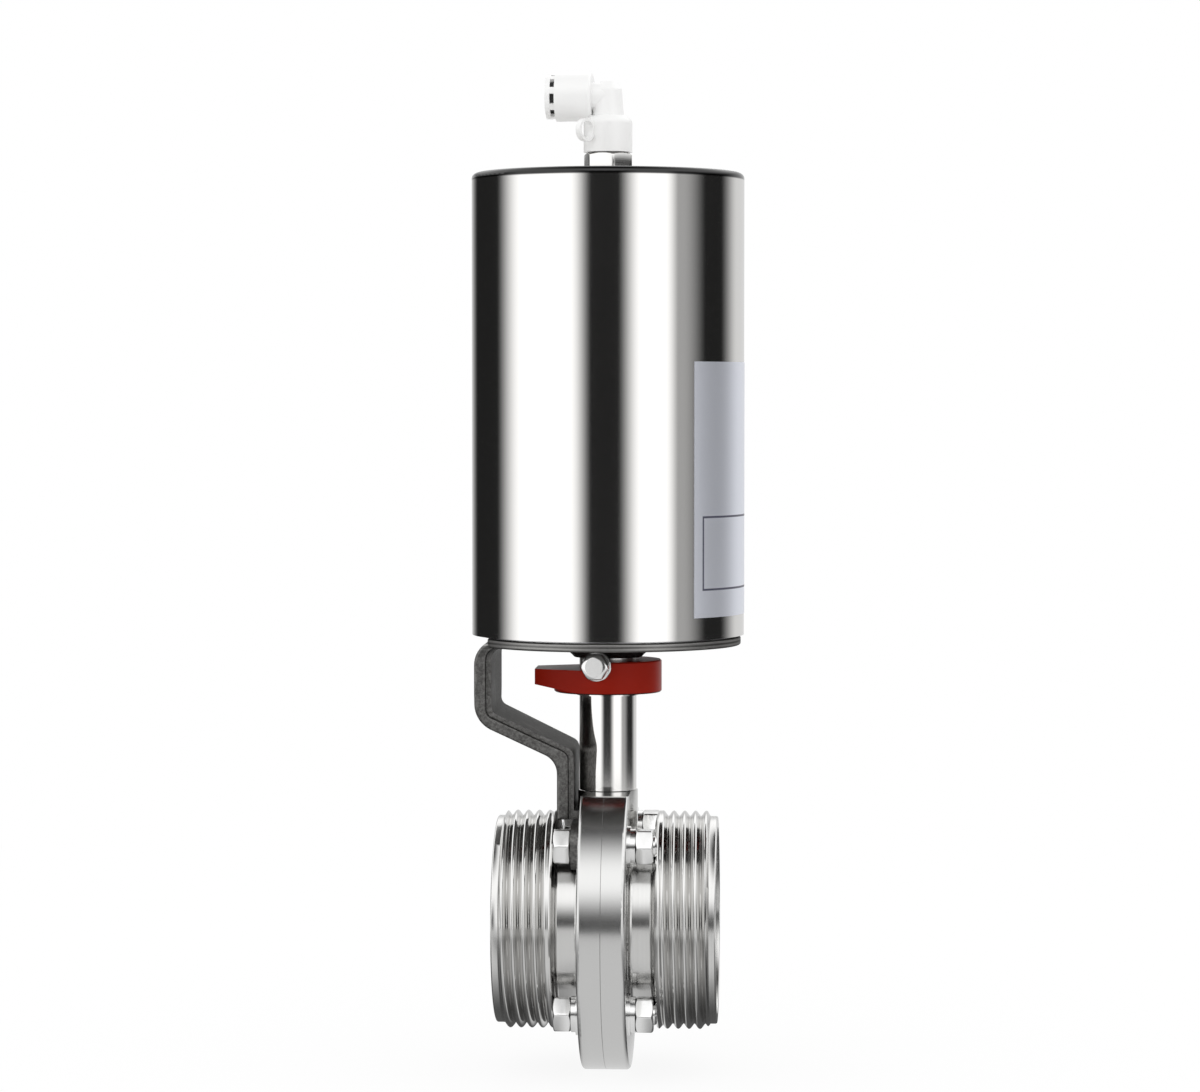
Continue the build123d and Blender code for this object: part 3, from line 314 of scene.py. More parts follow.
FLOOR_HEIGHT = -58.4
FLOOR_GAP = 0.2
FLOOR_RADIUS = 1.05
FLOOR_CORNERS = 96
FLOOR_SHADE = 0.95
FLOOR_ROUGHNESS = 0.9
# The share of the floor that glows by itself near the valve. The rest takes the valve's shadow
OWN_LIGHT = 0.9
SHADOW_FADES = (0.25, 0.8)
# The floor's light in mirrors: less beside the pipe, and a painted shadow under and behind the
# valve.
# Each is bounded across the view, in depth and in reach from the stem
MIRRORED_STRENGTH = 0.82
BESIDE_ACROSS = (0.045, 0.105)
BESIDE_REACH = (0.42, 0.22)
BESIDE_LOSS = 0.42
BENEATH_ACROSS = (0.006, 0.026)
BENEATH_DEPTH = (-0.09, -0.01)
BENEATH_REACH = (0.3, 0.16)
BENEATH_LOSS = 0.88


def add_floor():
    """A floor that is white to the camera and takes a faint shadow."""
    mesh = bpy.data.meshes.new("floor")
    rim = []
    for step in range(FLOOR_CORNERS):
        angle = math.tau * step / FLOOR_CORNERS
        height = (FLOOR_HEIGHT - FLOOR_GAP) * MM
        rim.append((FLOOR_RADIUS * math.cos(angle), FLOOR_RADIUS * math.sin(angle), height))
    mesh.from_pydata(rim, [], [list(range(FLOOR_CORNERS))])
    floor = bpy.data.objects.new("floor", mesh)
    bpy.context.scene.collection.objects.link(floor)
    finish = Finish(
        "floor",
        Base_Color=(FLOOR_SHADE, FLOOR_SHADE, FLOOR_SHADE, 1),
        Roughness=FLOOR_ROUGHNESS,
        Specular_IOR_Level=0.0,
    )
    x, y, _ = finish.axes(finish.place)
    reach = (x * x + y * y).math("SQRT")
    across = x.absolute()
    white = finish.add("ShaderNodeEmission", sockets={"Color": (1, 1, 1, 1), "Strength": 1.0})
    lit = finish.mix_surfaces(OWN_LIGHT, finish.surface, white)
    faded = finish.mix_surfaces(reach.ramp(*SHADOW_FADES), lit, white)
    beside = across.ramp(*BESIDE_ACROSS) * reach.ramp(*BESIDE_REACH)
    # Painted shadow of the valve on the floor, seen only in mirrors
    painted_shadow_beneath = across.ramp(*BENEATH_ACROSS) * y.ramp(*BENEATH_DEPTH) * reach.ramp(*BENEATH_REACH)
    strength = (MIRRORED_STRENGTH - beside * BESIDE_LOSS) * (1 - painted_shadow_beneath * BENEATH_LOSS)
    mirrored = finish.add(
        "ShaderNodeEmission", sockets={"Color": (1, 1, 1, 1), "Strength": strength}
    )
    mirror_ray = finish.wire(finish.add("ShaderNodeLightPath"), "Is Glossy Ray")
    seen = finish.mix_surfaces(mirror_ray, faded, mirrored)
    tree = finish.tree
    tree.links.new(seen.outputs[0], tree.nodes["Material Output"].inputs[0])
    mesh.materials.append(finish.material)


# Mesh building

MERGE_DISTANCE = 0.002
# Edges that bend by more than this many degrees stay sharp
SHARP_BEND = 35.0
END_SHARP_BEND = 50.0


def set_piece(name, mesh, finish_slot, body, *replaced, sharp=SHARP_BEND):
    """Makes a mesh one piece of the valve: smooth, dressed, on a body, standing for CAD nodes."""
    mesh.name = name
    for polygon in mesh.polygons:
        polygon.use_smooth = True
    mesh.set_sharp_from_angle(angle=math.radians(sharp))
    mesh.materials.clear()
    mesh.materials.append(finishes[finish_slot])
    piece = bpy.data.objects.new(name, mesh)
    bpy.context.scene.collection.objects.link(piece)
    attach(piece, body)
    if replaced:
        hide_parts(*replaced)
    return piece


def plain_mesh(builder):
    """A mesh with doubles merged and faces outward."""
    bmesh.ops.remove_doubles(builder, verts=builder.verts, dist=MERGE_DISTANCE * MM)
    bmesh.ops.recalc_face_normals(builder, faces=builder.faces)
    mesh = bpy.data.meshes.new("mesh")
    builder.to_mesh(mesh)
    builder.free()
    return mesh


def reopened(mesh):
    """A builder that holds a finished mesh, for more to be added."""
    builder = bmesh.new()
    builder.from_mesh(mesh)
    return builder


def rounded(points, radii, steps):
    """A polyline with its corners rounded. radii holds one radius for each inner point."""
    path = [Vector(points[0])]
    for before, corner, after, radius in zip(points, points[1:], points[2:], radii):
        corner = Vector(corner)
        back = (Vector(before) - corner).normalized()
        ahead = (Vector(after) - corner).normalized()
        if radius == 0:
            path.append(corner)
            continue
        half = back.angle(ahead) / 2
        centre = corner + (back + ahead).normalized() * (radius / math.sin(half))
        start = corner + back * (radius / math.tan(half))
        arm = start - centre
        turn = math.pi - 2 * half
        side = 1 if back.x * ahead.y - back.y * ahead.x < 0 else -1
        for step in range(steps + 1):
            swing = Matrix.Rotation(side * turn * step / steps, 2)
            path.append(centre + swing @ arm)
    path.append(Vector(points[-1]))
    return path


def lathe(builder, outline, segments, along):
    """Turns an outline of (distance, radius) points. along maps (distance, y, z) to a place."""
    rings = []
    for distance, radius in outline:
        ring = []
        for step in range(segments):
            angle = math.tau * step / segments
            place = (distance, radius * math.cos(angle), radius * math.sin(angle))
            ring.append(builder.verts.new(along(*place)))
        rings.append(ring)
    for low, high in zip(rings, rings[1:]):
        for step in range(segments):
            after = (step + 1) % segments
            builder.faces.new((low[step], low[after], high[after], high[step]))


def along_x(distance, y, z):
    return Vector((distance, y, z)) * MM


# Repeats grown by geometry nodes


class Growth(Tree):
    """A geometry node group with named inputs, run once to a plain mesh."""

    def __init__(self, name, **inputs):
        group = bpy.data.node_groups.new(name, "GeometryNodeTree")
        super().__init__(group)
        self.sizes = {}
        for label, value in inputs.items():
            kind = "NodeSocketInt" if isinstance(value, int) else "NodeSocketFloat"
            self.sizes[label] = value
            group.interface.new_socket(label, in_out="INPUT", socket_type=kind)
        group.interface.new_socket(
            "Geometry", in_out="OUTPUT", socket_type="NodeSocketGeometry"
        )
        self.given = self.add("NodeGroupInput")
        self.end = self.add("NodeGroupOutput")

    def size(self, label):
        return Wire(self.tree, self.given.outputs[label])

    def grid(self, size_x, size_y, count_x, count_y):
        """A grid of points, and the X and Y of each."""
        node = self.add(
            "GeometryNodeMeshGrid",
            sockets={
                "Size X": size_x,
                "Size Y": size_y,
                "Vertices X": count_x,
                "Vertices Y": count_y,
            },
        )
        x, y, _ = self.axes(self.add("GeometryNodeInputPosition").outputs[0])
        return node.outputs[0], x, y

    def move(self, geometry, x, y, z):
        """The same points at new places."""
        sockets = {"Geometry": geometry, "Position": self.point(x, y, z)}
        return self.add("GeometryNodeSetPosition", sockets=sockets).outputs[0]

    def point(self, x, y, z):
        return self.add("ShaderNodeCombineXYZ", sockets={"X": x, "Y": y, "Z": z}).outputs[0]

    def joined(self, *parts):
        node = self.add("GeometryNodeJoinGeometry")
        for part in parts:
            self.tree.links.new(part, node.inputs[0])
        return node.outputs[0]

    def lifted(self, part, height):
        sockets = {"Geometry": part, "Translation": self.point(0.0, 0.0, height)}
        return self.add("GeometryNodeTransform", sockets=sockets).outputs[0]

    def mesh(self, geometry, material):
        """Grows the group on an empty host and takes the result as a plain mesh."""
        realized = self.add("GeometryNodeRealizeInstances", sockets={"Geometry": geometry})
        dressed = self.add(
            "GeometryNodeSetMaterial",
            sockets={"Geometry": realized.outputs[0], "Material": material},
        )
        plug(self.tree, dressed.outputs[0], self.end.inputs[0])
        host = bpy.data.objects.new("host", bpy.data.meshes.new("host"))
        bpy.context.scene.collection.objects.link(host)
        modifier = host.modifiers.new("growth", "NODES")
        modifier.node_group = self.tree
        for item in self.tree.interface.items_tree:
            if item.in_out == "INPUT":
                modifier[item.identifier] = self.sizes[item.name]
        view = bpy.context.evaluated_depsgraph_get()
        grown = bpy.data.meshes.new_from_object(host.evaluated_get(view))
        bpy.data.objects.remove(host)
        return grown


# Finishes, each after its own colours and the places of its marks in millimetres

POLISHED = (0.80, 0.79, 0.775, 1)
# Painted shadow: a dark band round the can's top edge, bounded by these heights and radii
LID_EDGE_PAINTED_SHADOW = (0.045, 0.045, 0.045, 1)
LID_EDGE_HEIGHT = (287.9, 288.6)
LID_EDGE_RADIUS = (49.9, 50.9)


def polished_steel():
    """Drawn sheet, polished: near mirror, with faint clouds and a painted shadow at the lid edge."""
    finish = Finish("polished_steel", Metallic=1.0, Base_Color=POLISHED, Roughness=0.09)
    x, y, z = finish.axes(finish.place)
    radius = (x * x + y * y).math("SQRT")
    # Painted shadow along the lid's edge
    painted_lid_shadow = z.ramp_mm(*LID_EDGE_HEIGHT) * radius.ramp_mm(*LID_EDGE_RADIUS)
    finish.feed("Base Color", finish.mix(painted_lid_shadow, POLISHED, LID_EDGE_PAINTED_SHADOW))
    cloud = finish.noise(22.0, 3.0)
    streak = finish.noise(1.0, 3.0, 0.6, stretch=(700, 700, 14))
    finish.feed("Roughness", 0.06 + cloud * 0.035 + streak * 0.03)
    finish.bump(streak, 0.01, 0.12)
    return finish.material


STAINLESS = (0.61, 0.607, 0.6, 1)
TURNED_DARK = (0.6, 0.597, 0.587, 1)
TURNED_LIGHT = (0.68, 0.677, 0.669, 1)
# Painted shade: the colour of the thread's roots, darker than the crests
THREAD_ROOT_PAINTED_SHADE = (0.54, 0.535, 0.523, 1)
RIM_SHADE = (0.605, 0.604, 0.598, 1)
RIM_GROWS = (56.4, 57.2)
NECK_GROWS = (37.4, 36.6)
END_BAND_GROWS = (40.0, 40.6)
# The painted shade of the thread's roots grows inward between these radii and stops just above the
# root
ROOT_GROWS = (41.8, 40.7)
ROOT_STARTS = (40.2, 40.4)


def stainless_steel():
    """Turned stainless: bright thread with painted shade in its roots, satin necks and ends, fine
    turned lines on the rim.
    """
    finish = Finish("stainless_steel", Metallic=1.0, Base_Color=STAINLESS, Roughness=0.15)
    x, y, z = finish.axes(finish.place)
    radius = (y * y + z * z).math("SQRT")
    rim = radius.ramp_mm(*RIM_GROWS)
    end_band = x.absolute().ramp_mm(*END_BAND_GROWS)
    satin = radius.ramp_mm(*NECK_GROWS).math("MAXIMUM", end_band)
    # Painted shade in the thread's roots
    painted_root_shade = radius.ramp_mm(*ROOT_GROWS) * radius.ramp_mm(*ROOT_STARTS) * (1 - end_band)
    lines = finish.noise(1.0, 3.0, 0.7, stretch=(9000, 12, 12))
    turned_marks = finish.noise(1.0, 2.0, 0.6, stretch=(2200, 6, 6))
    cloud = finish.noise(60.0, 3.0)
    shade = finish.mix(turned_marks, TURNED_DARK, TURNED_LIGHT)
    shade = finish.mix(painted_root_shade, shade, THREAD_ROOT_PAINTED_SHADE)
    finish.feed("Base Color", finish.mix(rim, shade, RIM_SHADE))
    finish.feed("Roughness", 0.09 + cloud * 0.05 + satin * 0.09 + rim * (0.03 + lines * 0.1))
    finish.bump(lines * (rim + satin * 0.6) + cloud * 0.3, 0.02, 0.25)
    return finish.material


def bright_zinc():
    """Bright zinc plate on forged bolts, slightly uneven."""
    shade = (0.80, 0.80, 0.795, 1)
    finish = Finish("bright_zinc", Metallic=1.0, Base_Color=shade, Roughness=0.18)
    cloud = finish.noise(900.0, 3.0)
    finish.feed("Roughness", 0.12 + cloud * 0.12)
    finish.bump(cloud, 0.02, 0.3)
    return finish.material


def plated_brass():
    """Nickel plate over turned brass, with its fine turning lines round the stem."""
    shade = (0.78, 0.775, 0.76, 1)
    finish = Finish("plated_brass", Metallic=1.0, Base_Color=shade, Roughness=0.16)
    lines = finish.noise(1.0, 2.0, 0.7, stretch=(60, 60, 5200))
    finish.feed("Roughness", 0.1 + lines * 0.12)
    finish.bump(lines, 0.02, 0.3)
    return finish.material


CASTING = (0.14, 0.137, 0.133, 1)
SKIN_DARK = (0.085, 0.083, 0.08, 1)
SKIN_LIGHT = (0.2, 0.197, 0.191, 1)
PLATE_DARK = (0.075, 0.074, 0.072, 1)
PLATE_LIGHT = (0.17, 0.168, 0.164, 1)
RUBBED_SHADE = (0.25, 0.246, 0.238, 1)
# Painted highlight: the colour of the bright lines on the plate's edge
CREST_PAINTED_HIGHLIGHT = (0.3, 0.296, 0.288, 1)
PLATE_HEIGHT = (103.0, 106.5)
# Two painted highlights, bright lines, run round the plate's edge, one above and one below this
# height
CREST_MIDDLE = 109.7
CREST_OFFSET = 0.7
CREST_WIDTH = (0.5, 0.15)
CREST_RADIUS = (50.0, 51.0)


def blasted_casting():
    """Blasted stainless casting: dark, mottled, coarse, with rubbed patches, a turned plate and
    painted highlights on the plate's edge.
    """
    finish = Finish("blasted_casting", Metallic=0.9, Base_Color=CASTING, Roughness=0.4)
    finish.surface.inputs["Specular Tint"].default_value = (0.3, 0.3, 0.3, 1)
    grain = finish.noise(1900.0, 4.0, 0.75)
    mottle = finish.noise(800.0, 5.0, 0.75).ramp(0.34, 0.66)
    rubbed = finish.noise(70.0, 4.0, 0.6).ramp(0.5, 0.75)
    rings = finish.noise(1.0, 2.0, 0.6, stretch=(30, 30, 1500))
    x, y, z = finish.axes(finish.place)
    radius = (x * x + y * y).math("SQRT")
    plate = z.ramp_mm(*PLATE_HEIGHT)
    off_crest = ((z - CREST_MIDDLE * MM).absolute() - CREST_OFFSET * MM).absolute()
    crests = off_crest.ramp_mm(*CREST_WIDTH) * radius.ramp_mm(*CREST_RADIUS)
    skin = finish.mix(mottle, SKIN_DARK, SKIN_LIGHT)
    turned = finish.mix(rings.ramp(0.35, 0.65), PLATE_DARK, PLATE_LIGHT)
    skin = finish.mix(plate * 0.75, skin, turned)
    skin = finish.mix(rubbed * (0.6 - plate * 0.5), skin, RUBBED_SHADE)
    # Painted highlights on the plate's edge
    finish.feed("Base Color", finish.mix(crests, skin, CREST_PAINTED_HIGHLIGHT))
    finish.feed("Roughness", 0.26 + grain * 0.2 - rubbed * 0.05)
    finish.bump((grain + mottle * 0.5) * (1 - plate * 0.7), 0.1, 0.55)
    return finish.material


RED = (0.27, 0.010, 0.0025, 1)
RED_DARK = (0.25, 0.0085, 0.002, 1)
RED_LIGHT = (0.29, 0.0115, 0.0028, 1)
# Painted shade: the near black colour of the collar's underside, below the heights in
# COLLAR_UNDERSIDE
RED_UNDERSIDE_PAINTED_SHADE = (0.02, 0.003, 0.002, 1)
RED_SHEEN = 0.09
COLLAR_UNDERSIDE = (90.1, 89.6)


def glossy_red():
    """Moulded red plastic with a fine flow pattern, with painted shade on its underside."""
    finish = Finish("glossy_red", Base_Color=RED, Roughness=0.34, Specular_IOR_Level=RED_SHEEN)
    flow = finish.noise(140.0, 3.0, 0.6, stretch=(1, 1, 2.5))
    grain = finish.noise(3500.0, 2.0)
    _, _, z = finish.axes(finish.place)
    red = finish.mix(flow, RED_DARK, RED_LIGHT)
    # Painted shade on the collar's underside
    finish.feed("Base Color", finish.mix(z.ramp_mm(*COLLAR_UNDERSIDE), red, RED_UNDERSIDE_PAINTED_SHADE))
    finish.feed("Roughness", 0.26 + grain * 0.12)
    finish.bump(grain, 0.02, 0.3)
    return finish.material


def white_plastic():
    """Moulded white plastic, slightly glossy, with a soft skin."""
    finish = Finish("white_plastic", Base_Color=(0.93, 0.93, 0.925, 1), Roughness=0.3)
    skin = finish.noise(1800.0, 3.0)
    flow = finish.noise(120.0, 2.0)
    shade = finish.mix(flow, (0.915, 0.915, 0.91, 1), (0.94, 0.94, 0.935, 1))
    finish.feed("Base Color", shade)
    finish.feed("Roughness", 0.24 + skin * 0.12)
    finish.bump(skin, 0.02, 0.25)
    return finish.material


# The label starts and sweeps in degrees round the stem, with a ruled frame set in from its ends
LABEL_RADIUS = 53.05
LABEL_START = 41.0
LABEL_SWEEP = 124.5
LABEL_BOTTOM = 120.3
LABEL_TOP = 217.7
LABEL_THICKNESS = 0.1
FRAME_INSET = 4.6
FRAME_BOTTOM = 131.0
FRAME_TOP = 158.6
FRAME_LINE = 0.36
SILVER = (0.86, 0.86, 0.92, 1)
SILVER_DARK = (0.82, 0.845, 0.93, 1)
SILVER_LIGHT = (0.87, 0.895, 0.97, 1)
FRAME_INK = (0.05, 0.05, 0.08, 1)
FOIL_METAL = 0.8


def silver_label():
    """Satin silver foil with one thin ruled frame."""
    finish = Finish("silver_label", Metallic=FOIL_METAL, Base_Color=SILVER, Roughness=0.34)
    x, y, z = finish.axes(finish.place)
    arc = x.math("ARCTAN2", y * -1.0) * LABEL_RADIUS * MM
    half_arc = math.radians(LABEL_SWEEP) / 2 * LABEL_RADIUS * MM
    middle = math.radians(LABEL_START) * LABEL_RADIUS * MM + half_arc
    out_across = (arc - middle).absolute() - (half_arc - FRAME_INSET * MM)
    half_height = (FRAME_TOP - FRAME_BOTTOM) / 2 * MM
    out_up = (z - (FRAME_BOTTOM * MM + half_height)).absolute() - half_height
    off_line = out_across.math("MAXIMUM", out_up).absolute()
    line = off_line.ramp_mm(1.3 * FRAME_LINE, 0.9 * FRAME_LINE)
    grain = finish.noise(1500.0, 3.0)
    silver = finish.mix(grain, SILVER_DARK, SILVER_LIGHT)
    finish.feed("Base Color", finish.mix(line, silver, FRAME_INK))
    finish.feed("Metallic", FOIL_METAL * (1 - line))
    finish.feed("Roughness", 0.3 + grain * 0.08)
    finish.bump(grain, 0.01, 0.2)
    return finish.material


# The moulded and the turned finishes vary their roughness about its middle
ROUGHNESS_SPREAD = 0.12


def moulded(name, dark, light, roughness, scale):
    """Moulded rubber or plastic: two close shades, a fine skin."""
    finish = Finish(name, Base_Color=(*light, 1), Roughness=roughness)
    cloud = finish.noise(scale, 3.0, 0.6)
    skin = finish.noise(2400.0, 3.0)
    finish.feed("Base Color", finish.mix(cloud, (*dark, 1), (*light, 1)))
    finish.feed("Roughness", (roughness - ROUGHNESS_SPREAD / 2) + skin * ROUGHNESS_SPREAD)
    finish.bump(skin, 0.02, 0.3)
    return finish.material


def turned_metal(name, dark, light, roughness, stretch):
    """Turned metal: fine lines along the stretch, two close shades."""
    finish = Finish(name, Metallic=1.0, Base_Color=(*light, 1), Roughness=roughness)
    lines = finish.noise(1.0, 3.0, 0.7, stretch=stretch)
    cloud = finish.noise(90.0, 3.0)
    finish.feed("Base Color", finish.mix(cloud, (*dark, 1), (*light, 1)))
    finish.feed("Roughness", (roughness - ROUGHNESS_SPREAD / 2) + lines * ROUGHNESS_SPREAD)
    finish.bump(lines, 0.02, 0.3)
    return finish.material


ROUND_THE_STEM = (60, 60, 4200)
ALL_WAYS = (900, 900, 900)

# Each moulded finish: its material's name, dark and light shade, roughness and cloud scale
MOULDED = {
    "rubber": ("black_rubber", (0.012, 0.012, 0.012), (0.024, 0.024, 0.025), 0.5, 300.0),
    "seat_rubber": ("red_silicone", (0.38, 0.06, 0.04), (0.46, 0.085, 0.055), 0.48, 200.0),
    "bearing": ("bearing_plastic", (0.66, 0.64, 0.56), (0.74, 0.72, 0.64), 0.45, 150.0),
}
# Each turned finish: its material's name, dark and light shade, roughness and stretch of its lines
TURNED = {
    "aluminium": (
        "turned_aluminium",
        (0.66, 0.66, 0.67),
        (0.74, 0.74, 0.75),
        0.33,
        ROUND_THE_STEM,
    ),
    "spring": ("spring_steel", (0.26, 0.26, 0.27), (0.34, 0.34, 0.35), 0.36, ALL_WAYS),
    "shaft_steel": (
        "turned_steel",
        (0.47, 0.47, 0.465),
        (0.54, 0.54, 0.535),
        0.3,
        ROUND_THE_STEM,
    ),
}

bpy.context.scene.view_settings.view_transform = "Standard"
add_camera()
add_studio()
add_floor()

finishes = {
    "stainless": stainless_steel(),
    "polished": polished_steel(),
    "zinc": bright_zinc(),
    "cast": blasted_casting(),
    "red_plastic": glossy_red(),
    "white_plastic": white_plastic(),
    "plated_brass": plated_brass(),
    "label": silver_label(),
}
for slot, recipe in MOULDED.items():
    finishes[slot] = moulded(*recipe)
for slot, recipe in TURNED.items():
    finishes[slot] = turned_metal(*recipe)

for entry in frame["record"]["subparts"]:
    mesh = nodes[entry["node"]].data
    mesh.materials.clear()
    mesh.materials.append(finishes[entry["material_slot"]])

# Male ends with their round thread, by distance from the middle of the valve and by radius

WELD = 14.0
END_FACE = 43.0
THREAD_FROM = 20.4
THREAD_TO = 40.4
THREAD_CREST = 42.5
THREAD_ROOT = 40.4
THREAD_PITCH = 4.233
THREAD_RUN_OUT = 2.0
# The run-out at the end face is shorter than the other by this factor
END_RUN_OUT = 0.6
# Below 1, the crests are wider than the roots
THREAD_WAVE_POWER = 0.75
# The face behind the thread leans from its edge down to the neck
BACK_EDGE = (THREAD_FROM - 0.7, THREAD_CREST - 0.4)
BACK_FACE = (18.9, 39.5)
BACK_FOOT = 18.6
NECK = 35.0
NECK_FILLET = 1.6
# The fillet ring sits this far off the faces that it joins, and its foot lies inside the neck
FILLET_GAP = 0.02
FILLET_LIP = 0.1
FLANGE_FACE = 9.3
BORE = 30.15
RECESS = 36.35
RECESS_DEPTH = 1.6
END_CHAMFER_LENGTH = 0.5
END_CHAMFER_DEPTH = 0.2
AROUND = 192
THREAD_RINGS = 100


def thread_sleeve(side, crest_at_top):
    """The outside of the thread, from its first ring to its last, for the end at side +1 or -1.

    crest_at_top is a place along X where a crest crosses the top of the pipe.
    """
    growth = Growth(
        "round_thread",
        Crest=THREAD_CREST * MM,
        Root=THREAD_ROOT * MM,
        Pitch=THREAD_PITCH * MM,
        Start=THREAD_FROM * MM,
        End=THREAD_TO * MM,
        Run_out=THREAD_RUN_OUT * MM,
        Crest_at_top=crest_at_top * MM,
        Side=float(side),
        Rings=THREAD_RINGS,
        Columns=AROUND + 1,
    )
    size = growth.size
    grid, u, v = growth.grid(1.0, 1.0, size("Rings"), size("Columns"))
    reach = size("Start") + (size("End") - size("Start")) * (u + 0.5)
    x = reach * size("Side")
    turn = (v + 0.5) * math.tau
    top = math.tau / 4
    phase = (x - size("Crest_at_top")) / size("Pitch") - (turn - top) / math.tau
    wave = (phase * math.tau).math("COSINE") * 0.5 + 0.5
    depth = size("Crest") - size("Root")
    start_fade = ((reach - size("Start")) / size("Run_out")).math("MINIMUM", 1.0)
    cut = (1 - wave.math("POWER", THREAD_WAVE_POWER)) * start_fade
    end_run_out = size("Run_out") * END_RUN_OUT
    end_fade = ((size("End") - reach) / end_run_out).math("MINIMUM", 1.0)
    radius = size("Crest") - depth * (1 - (1 - cut) * end_fade)
    y = radius * turn.math("COSINE")
    z = radius * turn.math("SINE")
    return growth.mesh(growth.move(grid, x, y, z), finishes["stainless"])


def male_end(name, node, side, crest_at_top):
    """One end: its thread, its back, neck, bore, recess and end face, and the neck's fillet."""
    builder = reopened(thread_sleeve(side, crest_at_top))
    outline = rounded(
        [
            (THREAD_FROM, THREAD_CREST),
            BACK_EDGE,
            BACK_FACE,
            (BACK_FOOT, NECK),
            (WELD, NECK),
            (WELD, BORE),
            (END_FACE - RECESS_DEPTH, BORE),
            (END_FACE - RECESS_DEPTH, RECESS),
            (END_FACE, RECESS),
            (END_FACE, THREAD_ROOT - END_CHAMFER_DEPTH),
            (END_FACE - END_CHAMFER_LENGTH, THREAD_ROOT),
            (THREAD_TO, THREAD_ROOT),
        ],
        radii=[0.6, 0.8, 1.0, 0, 0, 0, 0, 0.3, 0.7, 0.5],
        steps=5,
    )
    ring_start = FLANGE_FACE + FILLET_GAP
    ring_edge = FLANGE_FACE + FILLET_LIP
    ring_foot = NECK - FILLET_LIP
    fillet = rounded(
        [
            (ring_start, ring_foot),
            (ring_start, NECK + NECK_FILLET),
            (ring_edge, NECK + NECK_FILLET),
            (ring_edge, NECK + FILLET_GAP),
            (WELD, NECK + FILLET_GAP),
            (WELD, ring_foot),
            (ring_start, ring_foot),
        ],
        radii=[0, 0, NECK_FILLET - FILLET_LIP, 0, 0],
        steps=10,
    )
    for shape in (outline, fillet):
        lathe(builder, [(side * x, radius) for x, radius in shape], AROUND, along_x)
    set_piece(name, plain_mesh(builder), "stainless", "valve", node, sharp=END_SHARP_BEND)


male_end("inlet_thread_end", "inlet_male_end", side=-1, crest_at_top=-22.8)
male_end("outlet_thread_end", "outlet_male_end", side=1, crest_at_top=21.6)

# Label on the can


def label_sheet():
    """The foil, bent round the can."""
    growth = Growth(
        "label_sheet",
        Radius=LABEL_RADIUS * MM,
        Start=math.radians(LABEL_START),
        Sweep=math.radians(LABEL_SWEEP),
        Bottom=LABEL_BOTTOM * MM,
        Top=LABEL_TOP * MM,
        Columns=121,
        Rows=25,
    )
    size = growth.size
    grid, u, v = growth.grid(1.0, 1.0, size("Columns"), size("Rows"))
    turn = size("Start") + size("Sweep") * (u + 0.5)
    x = size("Radius") * turn.math("SINE")
    y = size("Radius") * turn.math("COSINE") * -1.0
    z = size("Bottom") + (size("Top") - size("Bottom")) * (v + 0.5)
    return growth.mesh(growth.move(grid, x, y, z), finishes["label"])


label = set_piece("can_label", label_sheet(), "label", "valve")
thickness = label.modifiers.new("thickness", "SOLIDIFY")
thickness.thickness = LABEL_THICKNESS * MM
thickness.offset = 1.0
label.modifiers.new("cut_edge", "EDGE_SPLIT").split_angle = math.radians(SHARP_BEND)

# Hexagon fasteners

# A hexagon's rows of points run from one end's centre to the other's. Counted from the middle, the
# side and its rounded edge end at EDGE_ROW, then come the end face's rim, a ring and the centre
HEXAGON_ROWS = 15
HEXAGON_COLUMNS = 145
EDGE_ROW = 4
EDGE_ARC = math.radians(66.0)
FACE_INNER = 0.92
# The rim of the end face lies inside the corners' circle by the edge's radius times this
FACE_MARGIN = 1.2
# The cone that cuts the corners back falls by this much for each unit outward
CONE_SLOPE = 0.577


def hexagon(growth):
    """A hexagon about Z on z = 0: corners cut back by a cone at both ends, all edges rounded."""
    size = growth.size
    grid, row, turn = growth.grid(HEXAGON_ROWS - 1.0, math.tau, HEXAGON_ROWS, HEXAGON_COLUMNS)
    sixth = math.tau / 6
    off_middle = (turn + sixth / 2 + math.tau).math("MODULO", sixth) - sixth / 2
    off_middle = off_middle.absolute()
    power = size("Sharpness")
    spread = off_middle.math("COSINE").math("POWER", power)
    spread = spread + (sixth - off_middle).math("COSINE").math("POWER", power)
    half = size("Flats") * 0.5
    reach = half / spread.math("POWER", 1 / power)
    corner_circle = half * size("Cut")
    drop = (reach - corner_circle).math("MAXIMUM", 0.0) * CONE_SLOPE
    from_middle = row.absolute()
    bend = from_middle.math("MINIMUM", float(EDGE_ROW)) * (EDGE_ARC / EDGE_ROW)
    side = from_middle < EDGE_ROW + 0.5
    face = (from_middle < EDGE_ROW + 1.5) * (1 - FACE_INNER)
    face = face + (from_middle < EDGE_ROW + 2.5) * FACE_INNER
    side_radius = reach - size("Edge") * (1 - bend.math("COSINE"))
    face_radius = corner_circle - size("Edge") * FACE_MARGIN
    radius = face * (face_radius + side * (side_radius - face_radius))
    depth = side * (drop + size("Edge") * (1 - bend.math("SINE")))
    upper = (row > 0.5) - (row < -0.5)
    z = size("Height") * 0.5 + upper * (size("Height") * 0.5 - depth)
    return growth.move(grid, radius * turn.math("COSINE"), radius * turn.math("SINE"), z)


